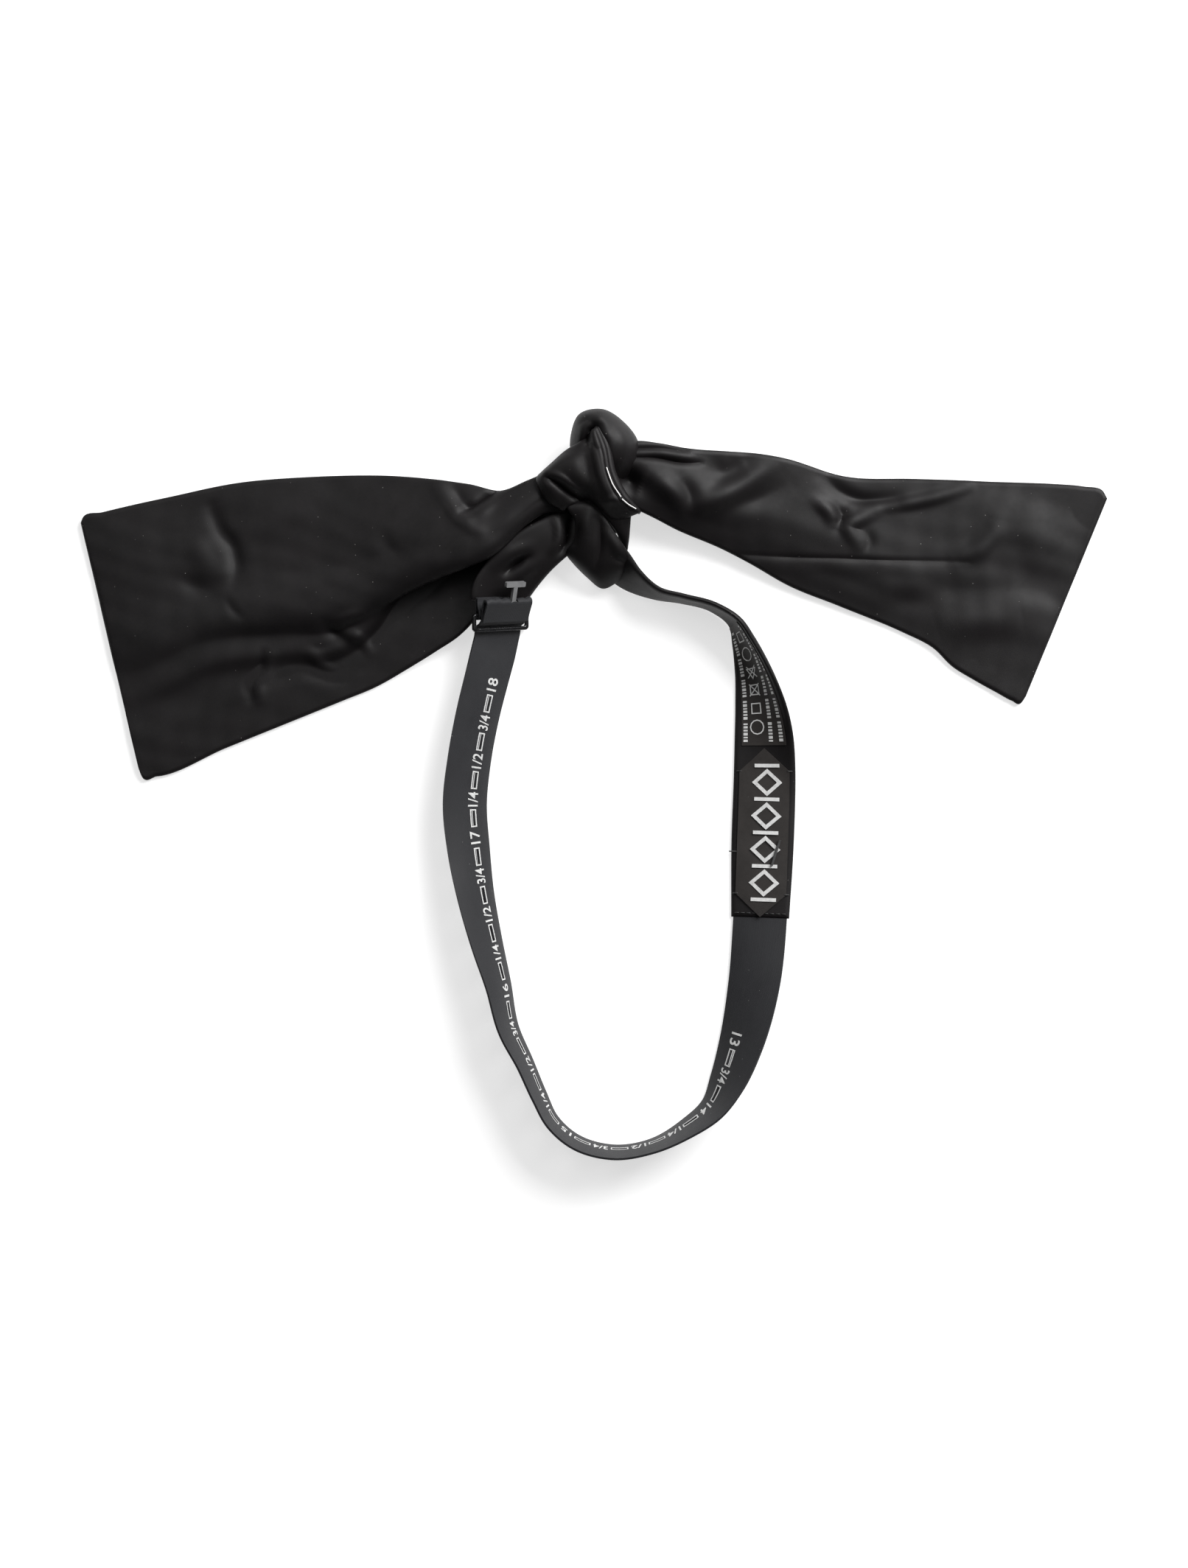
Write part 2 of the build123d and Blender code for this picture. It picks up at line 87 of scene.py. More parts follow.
# Painted light: the table glows though it is no lamp, so the shadows cast on it wash out to white.
table_surface.inputs["Emission Color"].default_value = (1, 1, 1, 1)
table_surface.inputs["Emission Strength"].default_value = TABLE_GLOW
table.data.materials.append(table_paint_and_glow)

centre = (cad_box[0] + cad_box[1]) / 2
for number, (place, width, watts) in enumerate(LAMPS):
    lamp_data = bpy.data.lights.new(f"lamp_{number}", "AREA")
    lamp_data.size = width
    lamp_data.energy = watts
    lamp = bpy.data.objects.new(f"lamp_{number}", lamp_data)
    lamp.location = place
    lamp.rotation_euler = (centre - Vector(place)).to_track_quat("-Z", "Y").to_euler()
    bpy.context.scene.collection.objects.link(lamp)

world = bpy.data.worlds.new("studio")
world.use_nodes = True
sky = world.node_tree
direction = sky.nodes.new("ShaderNodeTexCoord")
towards_window = sky.nodes.new("ShaderNodeVectorMath")
towards_window.operation = "DOT_PRODUCT"
towards_window.inputs[1].default_value = BRIGHT_SIDE
ceiling = sky.nodes.new("ShaderNodeMapRange")
ceiling.inputs["From Min"].default_value = 0.45
ceiling.inputs["To Min"].default_value = WALL_LIGHT
ceiling.inputs["To Max"].default_value = CEILING_LIGHT
sky.links.new(direction.outputs["Generated"], towards_window.inputs[0])
sky.links.new(towards_window.outputs["Value"], ceiling.inputs["Value"])
sky.links.new(ceiling.outputs["Result"], sky.nodes["Background"].inputs["Strength"])
sky.nodes["Background"].inputs["Color"].default_value = (1, 1, 1, 1)
bpy.context.scene.world = world
bpy.context.scene.view_settings.view_transform = "Standard"

camera_data = bpy.data.cameras.new("camera")
camera_data.lens = 100
camera_data.sensor_width = 36
camera = bpy.data.objects.new("camera", camera_data)
camera.location = (centre.x, centre.y, CAMERA_HEIGHT)
bpy.context.scene.collection.objects.link(camera)
bpy.context.scene.camera = camera

# ---------------------------------------------------------------- silk satin
# Black silk satin: a very fine weave with long floats, a soft sheen, uneven tone where it has been
# handled, and a little lint. The same node groups serve the other cloths of the object.
SILK_DARK = (0.0018, 0.0014, 0.0016)
SILK_LIGHT = (0.0078, 0.0066, 0.0071)
SILK_THREAD_PITCH = 0.25 * MM
LINT_COLOUR = (0.16, 0.155, 0.15)


def new_group(name, inputs, outputs):
    """A shader node group with named sockets, its input node and its output node."""
    group = bpy.data.node_groups.new(name, "ShaderNodeTree")
    for socket, kind, value in inputs:
        made = group.interface.new_socket(socket, in_out="INPUT", socket_type=kind)
        if value is not None:
            made.default_value = value
    for socket, kind in outputs:
        group.interface.new_socket(socket, in_out="OUTPUT", socket_type=kind)
    return group, group.nodes.new("NodeGroupInput"), group.nodes.new("NodeGroupOutput")


def sum_node(tree, operation, first, second=None):
    """A Math node fed by sockets or plain numbers. Gives its result socket."""
    node = tree.nodes.new("ShaderNodeMath")
    node.operation = operation
    for socket, value in zip(node.inputs, (first, second)):
        if isinstance(value, (int, float)):
            socket.default_value = value
        elif value is not None:
            tree.links.new(value, socket)
    return node.outputs[0]


def make_weave_group():
    """Rounded threads side by side both ways, as heights from 0 to 1."""
    group, given, result = new_group(
        "weave",
        [
            ("Vector", "NodeSocketVector", None),
            ("Warp pitch", "NodeSocketFloat", 0.0005),
            ("Weft pitch", "NodeSocketFloat", 0.0005),
            ("Weft share", "NodeSocketFloat", 0.5),
        ],
        [("Height", "NodeSocketFloat")],
    )
    split = group.nodes.new("ShaderNodeSeparateXYZ")
    group.links.new(given.outputs["Vector"], split.inputs[0])
    threads = []
    for axis, pitch in (("X", "Warp pitch"), ("Y", "Weft pitch")):
        turns = sum_node(group, "DIVIDE", split.outputs[axis], given.outputs[pitch])
        wave = sum_node(group, "SINE", sum_node(group, "MULTIPLY", turns, math.pi))
        threads.append(sum_node(group, "ABSOLUTE", wave))
    warp_share = sum_node(group, "SUBTRACT", 1, given.outputs["Weft share"])
    warp = sum_node(group, "MULTIPLY", threads[0], warp_share)
    weft = sum_node(group, "MULTIPLY", threads[1], given.outputs["Weft share"])
    group.links.new(sum_node(group, "ADD", warp, weft), result.inputs["Height"])
    return group


def make_mottle_group():
    """Soft uneven tone from 0 to 1: large patches with finer ones in them."""
    group, given, result = new_group(
        "mottle",
        [("Vector", "NodeSocketVector", None), ("Patches", "NodeSocketFloat", 40.0)],
        [("Tone", "NodeSocketFloat")],
    )
    noise = group.nodes.new("ShaderNodeTexNoise")
    noise.inputs["Detail"].default_value = 9
    noise.inputs["Roughness"].default_value = 0.72
    group.links.new(given.outputs["Vector"], noise.inputs["Vector"])
    group.links.new(given.outputs["Patches"], noise.inputs["Scale"])
    spread = group.nodes.new("ShaderNodeMapRange")
    spread.inputs["From Min"].default_value = 0.3
    spread.inputs["From Max"].default_value = 0.7
    group.links.new(noise.outputs["Fac"], spread.inputs["Value"])
    group.links.new(spread.outputs["Result"], result.inputs["Tone"])
    return group


def make_lint_group():
    """A mask of small scattered specks of lint, of uneven brightness."""
    group, given, result = new_group(
        "lint",
        [
            ("Vector", "NodeSocketVector", None),
            ("Cells", "NodeSocketFloat", 320.0),
            ("Speck", "NodeSocketFloat", 0.045),
            ("Share", "NodeSocketFloat", 0.5),
        ],
        [("Mask", "NodeSocketFloat")],
    )
    cells = group.nodes.new("ShaderNodeTexVoronoi")
    group.links.new(given.outputs["Vector"], cells.inputs["Vector"])
    group.links.new(given.outputs["Cells"], cells.inputs["Scale"])
    near = sum_node(group, "LESS_THAN", cells.outputs["Distance"], given.outputs["Speck"])
    chance = group.nodes.new("ShaderNodeSeparateXYZ")
    group.links.new(cells.outputs["Color"], chance.inputs[0])
    kept = sum_node(group, "LESS_THAN", chance.outputs["X"], given.outputs["Share"])
    bright = sum_node(group, "MULTIPLY", near, chance.outputs["Y"])
    group.links.new(sum_node(group, "MULTIPLY", bright, kept), result.inputs["Mask"])
    return group


WEAVE = make_weave_group()
MOTTLE = make_mottle_group()
LINT = make_lint_group()


def place_group(tree, group, vector, **values):
    """A group node in a material, reading a vector, with its own values."""
    node = tree.nodes.new("ShaderNodeGroup")
    node.node_tree = group
    tree.links.new(vector, node.inputs["Vector"])
    for name, value in values.items():
        node.inputs[name.replace("_", " ").capitalize()].default_value = value
    return node.outputs[0]


def mixed(tree, share, low, high):
    """A colour between two, chosen by a mask. Each end is a colour or a socket."""
    mix = tree.nodes.new("ShaderNodeMix")
    mix.data_type = "RGBA"
    tree.links.new(share, mix.inputs["Factor"])
    for socket, colour in (("A", low), ("B", high)):
        target = [s for s in mix.inputs if s.name == socket and s.type == "RGBA"][0]
        if isinstance(colour, tuple):
            target.default_value = (*colour, 1)
        else:
            tree.links.new(colour, target)
    return [s for s in mix.outputs if s.type == "RGBA"][0]


def finish(
    name, dark, light, rough, weave, depth, lint=0.0, patches=45.0, sheen=0.0, metal=0.0, spec=0.5
):
    """A finish whose tone and gloss vary in patches, with a weave or grain of a real depth."""
    material = bpy.data.materials.new(name)
    material.use_nodes = True
    tree = material.node_tree
    surface = tree.nodes["Principled BSDF"]
    place = tree.nodes.new("ShaderNodeTexCoord")
    tone = place_group(tree, MOTTLE, place.outputs["Object"], patches=patches)
    colour = mixed(tree, tone, dark, light)
    if lint:
        specks = place_group(tree, LINT, place.outputs["Object"], share=lint)
        colour = mixed(tree, specks, colour, LINT_COLOUR)
    tree.links.new(colour, surface.inputs["Base Color"])
    gloss = tree.nodes.new("ShaderNodeMapRange")
    gloss.inputs["To Min"].default_value = rough[0]
    gloss.inputs["To Max"].default_value = rough[1]
    tree.links.new(tone, gloss.inputs["Value"])
    tree.links.new(gloss.outputs["Result"], surface.inputs["Roughness"])
    warp, weft, weft_share = weave
    follows = "UV" if warp != weft or weft_share else "Object"
    threads = place_group(
        tree, WEAVE, place.outputs[follows], warp_pitch=warp, weft_pitch=weft, weft_share=weft_share
    )
    bump = tree.nodes.new("ShaderNodeBump")
    bump.inputs["Distance"].default_value = depth
    bump.inputs["Strength"].default_value = 0.6
    tree.links.new(threads, bump.inputs["Height"])
    tree.links.new(bump.outputs["Normal"], surface.inputs["Normal"])
    surface.inputs["Sheen Weight"].default_value = sheen
    surface.inputs["Sheen Roughness"].default_value = 0.5
    surface.inputs["Metallic"].default_value = metal
    surface.inputs["Specular IOR Level"].default_value = spec
    return material


SILK = finish(
    "silk_satin", SILK_DARK, SILK_LIGHT, (0.58, 0.44), (SILK_THREAD_PITCH, 0.4 * MM, 0.3), 0.03 * MM,
    lint=0.8, spec=0.22,
)
WOOL = finish(
    "wool_interlining", (0.012, 0.012, 0.012), (0.022, 0.021, 0.02), (0.8, 0.95),
    (0.7 * MM, 0.8 * MM, 0.5), 0.15 * MM,
)

# ---------------------------------------------------------------- left blade
# A wide flat bag of satin, turned right side out over a wool interlining. Near the knot it is folded
# twice: a pleat stands up on top, and its lower half turns back underneath itself.
SILK_THICKNESS = 0.35
BLADE_CORE = 0.5
HALF_STACK = 0.78  # from the middle of the interlining to the middle of each silk
EDGE_ROUNDING = 1.5
FOLD_RADIUS = 1.2
LEFT_FOLD_STRENGTH = 0.62
RUMPLE = 0.35  # height of the slow unevenness of both blades
LEFT_BLADE_STATIONS = [
    # lower edge, upper edge, share and overlap of the fold, heights: edge, crease, lip, crown, edge
    ((-148.2, 5.2), (-167.0, 85.0), 0.42, -12, (1.0, 1.1, 1.2, 1.2, 1.0)),
    ((-147.2, 2.6), (-166.3, 86.8), 0.42, -12, (1.0, 1.2, 1.4, 1.5, 1.0)),
    ((-142.4, 2.6), (-160.0, 88.4), 0.42, -12, (1.0, 1.4, 2.2, 2.2, 1.2)),
    ((-120.0, 11.8), (-138.0, 93.4), 0.44, -11, (1.0, 1.5, 3.4, 2.6, 1.4)),
    ((-96.3, 21.4), (-112.0, 98.4), 0.38, -10, (1.0, 1.4, 4.2, 3.4, 1.6)),
    ((-82.0, 27.2), (-90.0, 99.9), 0.33, -9, (1.0, 1.4, 5.0, 4.8, 2.4)),
    ((-71.1, 31.7), (-73.1, 100.2), 0.36, -5, (1.0, 1.4, 6.4, 7.0, 4.0)),
    ((-61.0, 37.4), (-61.0, 99.6), 0.40, 4, (2.0, 1.2, 9.4, 9.8, 6.0)),
    ((-51.5, 43.2), (-50.1, 98.4), 0.43, 9, (3.4, 1.2, 12.6, 12.8, 8.0)),
    ((-43.5, 48.6), (-40.2, 96.9), 0.45, 12, (4.4, 1.2, 14.6, 15.2, 9.6)),
    ((-37.5, 55.5), (-29.6, 94.8), 0.47, 12, (4.4, 1.3, 14.6, 15.8, 11.4)),
    ((-32.6, 65.0), (-21.6, 97.9), 0.41, 10, (3.4, 2.2, 13.6, 15.4, 12.6)),
    ((-26.6, 76.0), (-14.3, 101.0), 0.33, 8, (3.0, 4.0, 13.6, 14.6, 12.4)),
    ((-18.6, 83.0), (-8.0, 103.6), 0.26, 5, (6.0, 8.0, 12.6, 13.0, 11.4)),
    ((-11.6, 84.4), (-2.0, 104.4), 0.20, 3, (7.0, 9.0, 11.0, 12.0, 11.0)),
]
LEFT_BLADE_FOLDS = [
    # height, width, line in plan
    (-2.0, 2.6, [(-124.5, 89.8), (-121.3, 82.2), (-117.2, 76.0), (-116.3, 70.0), (-117.6, 64.6)]),
    (1.3, 4.0, [(-131.0, 79.0), (-126.0, 72.5), (-119.8, 66.8)]),
    (-1.3, 3.2, [(-134.9, 66.8), (-128.0, 62.9), (-121.8, 60.0)]),
    (-0.9, 1.5, [(-119.2, 60.4), (-117.4, 56.6), (-114.6, 54.2)]),
    (0.9, 5.0, [(-112.0, 80.0), (-103.0, 85.8), (-90.6, 91.5)]),
    (-1.5, 1.5, [(-107.9, 42.4), (-109.2, 37.4), (-112.2, 32.6), (-111.6, 27.6)]),
    (1.3, 1.8, [(-104.8, 41.6), (-106.4, 36.4), (-109.2, 32.4), (-108.8, 27.6)]),
    (-1.9, 2.2, [(-87.4, 52.4), (-84.2, 49.2), (-81.0, 46.4)]),
    (1.2, 1.5, [(-83.6, 51.8), (-79.8, 54.4), (-76.0, 55.6)]),
    (1.2, 1.5, [(-80.6, 49.2), (-76.6, 47.6), (-73.0, 43.0)]),
    (-0.9, 1.8, [(-84.6, 46.2), (-88.4, 44.2), (-92.4, 44.6)]),
    (1.0, 1.6, [(-92.3, 42.6), (-88.6, 39.2), (-85.4, 37.6)]),
    (-0.9, 2.2, [(-92.0, 35.6), (-84.0, 34.6), (-77.0, 37.6)]),
    (1.5, 2.2, [(-51.2, 97.4), (-47.2, 90.6), (-42.0, 84.6), (-36.6, 81.0)]),
    (-1.9, 2.2, [(-44.6, 95.6), (-41.8, 90.2), (-38.6, 87.0)]),
    (-2.6, 1.3, [(-28.6, 95.4), (-33.8, 93.0), (-38.6, 89.7), (-43.0, 87.0)]),
    (0.9, 1.6, [(-31.6, 90.4), (-36.6, 87.4), (-40.4, 85.0)]),
    (-0.8, 2.6, [(-69.4, 84.0), (-66.0, 76.0), (-60.0, 72.6)]),
    (0.8, 3.4, [(-70.0, 68.0), (-60.0, 71.0), (-50.6, 78.0)]),
    (0.6, 3.0, [(-98.0, 62.0), (-88.0, 66.0), (-77.0, 66.4)]),
]


def smooth_between(points, slopes, first, t, gap):
    """A smooth blend from each first point to the next that keeps the slope at both."""
    start = (2 * t**3 - 3 * t**2 + 1) * points[first] + (t**3 - 2 * t**2 + t) * gap * slopes[first]
    end = (3 * t**2 - 2 * t**3) * points[first + 1] + (t**3 - t**2) * gap * slopes[first + 1]
    return start + end


def through(points, shares):
    """A smooth line through given points, at shares of its length from 0 to 1."""
    points = np.array(points, float)
    steps = np.linalg.norm(np.diff(points, axis=0), axis=-1)
    steps = steps if steps.ndim == 1 else steps.mean(axis=1)
    spots = np.concatenate([[0], np.cumsum(np.maximum(steps, 1e-6))])
    slopes = np.gradient(points, spots, axis=0)
    wanted = np.asarray(shares) * spots[-1]
    first = np.clip(np.searchsorted(spots, wanted, side="right") - 1, 0, len(spots) - 2)
    gap = spots[first + 1] - spots[first]
    t = (wanted - spots[first]) / gap
    shape = (-1,) + (1,) * (points.ndim - 1)
    t, gap = t.reshape(shape), gap.reshape(shape)
    return smooth_between(points, slopes, first, t, gap)


def even(count):
    return np.linspace(0, 1, count)


def crowded(count):
    """Shares from 0 to 1 that lie closer together towards both ends."""
    return (1 - np.cos(np.pi * even(count))) / 2


def cloth_surface(rows, lengthwise, crosswise):
    """A smooth sheet of points through rows of given points."""
    return np.array([through(row, crosswise) for row in through(rows, lengthwise)])


def press_folds(surface, folds, strength=1.0):
    """Lifts or sinks a sheet along soft lines in plan, fading out towards the ends of each line."""
    plan = surface[..., :2]
    for height, width, line in folds:
        line = through(line, even(160))
        nearest = np.full(plan.shape[:2], 1e9)
        share = np.zeros(plan.shape[:2])
        for index, spot in enumerate(line):
            gap = np.linalg.norm(plan - spot, axis=-1)
            share = np.where(gap < nearest, index / (len(line) - 1), share)
            nearest = np.minimum(gap, nearest)
        fade = np.sin(np.pi * (0.12 + 0.76 * share))
        surface[..., 2] += strength * height * fade * np.exp(-((nearest / width) ** 2))
    return surface


def lengths(surface, axis):
    """How far each point is along one direction of a sheet, from that direction's start."""
    steps = np.linalg.norm(np.diff(surface, axis=axis), axis=-1)
    start = np.zeros_like(np.take(steps, [0], axis=axis))
    return np.cumsum(np.concatenate([start, steps], axis=axis), axis=axis)


def normals(surface):
    """Which way each point of a sheet faces."""
    facing = np.cross(np.gradient(surface, axis=1), np.gradient(surface, axis=0))
    return facing / np.maximum(np.linalg.norm(facing, axis=-1, keepdims=True), 1e-9)


def layer_of(surface, lift, closed_end=False):
    """A layer beside a sheet that rounds in to it at its sides, its start and a closed far end."""
    across, along = lengths(surface, 1), lengths(surface, 0)
    inside = np.minimum(np.minimum(across, across[:, -1:] - across), along)
    if closed_end:
        inside = np.minimum(inside, along[-1:] - along)
    share = np.clip(inside / EDGE_ROUNDING, 0, 1)
    return surface + normals(surface) * (lift * np.sqrt(1 - (1 - share) ** 2))[..., None]


def clear_selection():
    bpy.ops.object.select_all(action="DESELECT")


def cloth_piece(name, surface, material):
    """A grid of faces laid through a sheet of points, with UVs that measure the cloth in metres."""
    rows, columns = surface.shape[:2]
    clear_selection()
    bpy.ops.mesh.primitive_grid_add(x_subdivisions=columns - 1, y_subdivisions=rows - 1, size=1)
    piece = bpy.context.object
    piece.name = name
    piece.data.vertices.foreach_set("co", (surface * MM).astype(np.float32).ravel())
    measured = np.stack([lengths(surface, 1), lengths(surface, 0)], axis=-1).reshape(-1, 2) * MM
    corners = np.zeros(len(piece.data.loops), np.int32)
    piece.data.loops.foreach_get("vertex_index", corners)
    piece.data.uv_layers.active.data.foreach_set("uv", measured[corners].astype(np.float32).ravel())
    piece.data.materials.append(material)
    piece.data.update()
    return piece


def apply_modifiers(piece):
    clear_selection()
    piece.select_set(True)
    bpy.context.view_layer.objects.active = piece
    for modifier in list(piece.modifiers):
        bpy.ops.object.modifier_apply(modifier=modifier.name)
    bpy.ops.object.shade_smooth_by_angle(angle=math.radians(50))


def thicken(piece, thickness):
    """Gives a sheet its thickness, with square cut edges."""
    wall = piece.modifiers.new("thickness", "SOLIDIFY")
    wall.thickness = thickness * MM
    wall.offset = 0
    wall.use_even_offset = False
    apply_modifiers(piece)
    return piece


def bag_layers(prefix, surface, core_surface, core_thickness, closed_end=False):
    """The two silks of a flat silk bag, and the interlining between them."""
    front = cloth_piece(f"{prefix}_front", layer_of(surface, HALF_STACK, closed_end), SILK)
    thicken(front, SILK_THICKNESS)
    back = cloth_piece(f"{prefix}_back", layer_of(surface, -HALF_STACK, closed_end), SILK)
    thicken(back, SILK_THICKNESS)
    core = cloth_piece(f"{prefix}_wool", core_surface, WOOL)
    return front, back, thicken(core, core_thickness)


def settle(piece, body, slot, *nodes):
    """The piece rides on its body and stands for its CAD nodes, whose parts it hides. The slot is not used.
    """
    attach(piece, body)
    if nodes:
        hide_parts(*nodes)
    return piece


def rumple(surface, height):
    """The slow unevenness of cloth that has been worn."""
    x, y = surface[..., 0], surface[..., 1]
    wave = np.sin(x / 9.0 + y / 14.0) + np.sin(x / 6.1 - y / 8.3 + 1.7) + np.sin(y / 4.7 + x / 17.0 + 0.6)
    small = np.sin(x / 2.3 + y / 3.1 + 2 * np.sin(y / 11)) * np.sin(y / 2.7 - x / 4.4 + 2 * np.sin(x / 13))
    surface[..., 2] += height * (wave / 3 + 0.22 * small)
    return surface


def folded_section(low, high, share, overlap, heights):
    """Points across the left blade: up from its lower edge to a crease, back to a lip, and on."""
    low, high = np.array(low), np.array(high)
    width = np.linalg.norm(high - low)
    lip = share * width
    crease = lip + overlap
    turn = FOLD_RADIUS * min(1, max(-1, overlap / 4))
    edge, inner, outer, crown, far = heights
    rise = min(0.9, (outer - inner) / 5)
    spots = [
        (0, edge), (0.5 * crease, 0.6 * inner + 0.4 * edge), (crease - FOLD_RADIUS, inner),
        (crease, inner + rise), (crease - turn, inner + 2 * rise), (lip + turn, outer - 2 * rise),
        (lip, outer - rise), (lip + FOLD_RADIUS, outer), (0.45 * (lip + width), crown), (width, far),
    ]
    way = (high - low) / width
    return [(*(low + way * distance), height) for distance, height in spots]


left_rows = [folded_section(*station) for station in LEFT_BLADE_STATIONS]
left_blade = cloth_surface(left_rows, crowded(230), crowded(200))[:, ::-1]
left_blade = rumple(press_folds(left_blade, LEFT_BLADE_FOLDS, LEFT_FOLD_STRENGTH), RUMPLE)
left_blade[..., 2] = np.maximum(left_blade[..., 2], HALF_STACK + SILK_THICKNESS / 2)
left_front, left_back, left_core = bag_layers(
    "left_blade", left_blade, left_blade[6:-3:2, 9:-9:2], BLADE_CORE
)
settle(left_front, "tie", "silk_satin", "left_blade_front_silk", "left_blade_under_fold")
settle(left_back, "tie", "silk_satin", "left_blade_back_silk")
settle(left_core, "tie", "wool_interlining", "left_blade_interlining")

# ---------------------------------------------------------------- right blade
# The same bag of satin on the other side. It leaves the knot in tight pleats and opens out flat.
RIGHT_BLADE_STATIONS = [
    # lower edge, upper edge, heights: edge, crown, edge
    ((2.0, 93.4), (3.0, 104.0), (12.4, 15.0, 13.0)),
    ((9.0, 90.8), (8.6, 109.4), (12.2, 15.6, 13.6)),
    ((13.9, 88.8), (13.6, 110.6), (11.4, 15.6, 13.6)),
    ((20.0, 86.0), (21.0, 110.0), (9.6, 14.6, 13.0)),
    ((26.3, 82.8), (28.9, 108.6), (7.8, 13.2, 12.0)),
    ((41.7, 76.4), (43.0, 107.6), (5.2, 10.4, 9.6)),
    ((51.6, 71.3), (52.6, 107.0), (3.8, 8.2, 8.2)),
    ((62.1, 65.3), (62.4, 105.4), (2.6, 6.4, 6.6)),
    ((80.0, 58.0), (81.4, 99.9), (1.5, 4.4, 3.6)),
    ((100.5, 49.6), (104.0, 99.2), (1.0, 3.0, 1.8)),
    ((110.5, 44.4), (118.0, 98.8), (1.0, 2.6, 1.4)),
    ((117.0, 38.2), (130.0, 98.3), (1.0, 2.4, 1.2)),
    ((124.0, 33.9), (140.0, 98.0), (1.0, 2.2, 1.1)),
    ((131.0, 30.0), (150.0, 97.6), (1.0, 2.0, 1.0)),
    ((136.2, 27.2), (159.4, 96.8), (1.0, 1.6, 1.0)),
    ((138.9, 26.4), (165.4, 95.6), (1.0, 1.2, 1.0)),
    ((140.5, 28.6), (167.0, 93.0), (1.0, 1.0, 1.0)),
]
RIGHT_FOLD_STRENGTH = 0.7
RIGHT_BLADE_FOLDS = [
    (-1.6, 1.1, [(10.6, 107.9), (20.3, 108.4), (29.6, 107.4)]),
    (-1.9, 1.1, [(10.6, 105.2), (19.1, 105.4), (28.0, 103.8), (34.0, 103.8)]),
    (1.2, 1.0, [(13.0, 106.6), (22.0, 106.9), (31.0, 105.6)]),
    (-7.0, 3.6, [(8.0, 100.6), (11.4, 98.4), (15.4, 96.6)]),
    (1.8, 2.8, [(20.5, 98.6), (24.6, 94.8), (28.4, 90.6)]),
    (-1.4, 2.4, [(27.4, 98.6), (31.4, 92.4), (31.4, 88.4)]),
    (2.4, 3.4, [(29.4, 88.2), (38.0, 91.6), (48.6, 97.6), (59.4, 104.6)]),
    (-2.2, 4.2, [(36.0, 104.6), (41.6, 100.6), (48.0, 103.8)]),
    (-1.2, 3.0, [(44.0, 89.6), (54.0, 92.4), (63.0, 97.0)]),
    (-2.2, 2.6, [(74.6, 100.0), (79.0, 95.6), (86.0, 92.4), (97.8, 92.2)]),
    (1.6, 1.9, [(84.0, 89.6), (98.8, 90.8), (110.0, 93.0), (121.8, 96.6)]),
    (1.8, 2.0, [(72.4, 91.8), (76.4, 88.2), (77.6, 85.0)]),
    (-1.5, 1.7, [(78.8, 90.2), (80.6, 86.6), (79.4, 83.0)]),
    (2.2, 2.2, [(91.0, 88.2), (86.4, 86.4), (82.6, 84.2), (86.0, 77.6)]),
    (-0.9, 1.7, [(88.4, 82.6), (89.6, 78.6), (87.6, 75.4)]),
    (-0.75, 0.9, [(45.5, 74.8), (58.0, 74.1), (78.0, 73.4), (100.0, 72.6), (121.8, 72.4)]),
    (0.3, 2.2, [(47.0, 72.0), (60.0, 71.2), (80.0, 70.4), (100.0, 69.6), (118.0, 69.6)]),
    (1.7, 3.0, [(118.0, 73.4), (125.0, 76.4), (129.8, 81.4), (131.0, 86.0)]),
    (1.5, 7.0, [(134.0, 87.0), (142.0, 82.0), (150.0, 75.0)]),
    (-1.0, 5.0, [(136.0, 66.0), (146.0, 64.0), (152.0, 60.0)]),
    (1.8, 6.0, [(112.0, 49.6), (124.0, 52.6), (139.0, 55.4)]),
    (-0.8, 4.0, [(98.0, 58.0), (112.0, 62.0), (128.0, 62.0)]),
    (0.9, 5.0, [(92.0, 62.0), (104.0, 65.0), (112.0, 59.0)]),
]
right_rows = []
for low, high, (low_z, crown_z, high_z) in RIGHT_BLADE_STATIONS:
    low, high = np.array(low), np.array(high)
    spots = [(0, low_z), (0.2, 0.6 * low_z + 0.4 * crown_z), (0.5, crown_z), (0.8, 0.5 * (crown_z + high_z))]
    right_rows.append([(*(low + (high - low) * share), height) for share, height in [*spots, (1, high_z)]])
right_blade = cloth_surface(right_rows, crowded(230), crowded(150))[::-1]
right_blade = rumple(press_folds(right_blade, RIGHT_BLADE_FOLDS, RIGHT_FOLD_STRENGTH), RUMPLE)
right_blade[..., 2] = np.maximum(right_blade[..., 2], HALF_STACK + SILK_THICKNESS / 2)
right_front, right_back, right_core = bag_layers(
    "right_blade", right_blade, right_blade[6:-3:2, 9:-9:2], BLADE_CORE
)
settle(right_front, "tie", "silk_satin", "right_blade_front_silk")
settle(right_back, "tie", "silk_satin", "right_blade_back_silk")
settle(right_core, "tie", "wool_interlining", "right_blade_interlining")

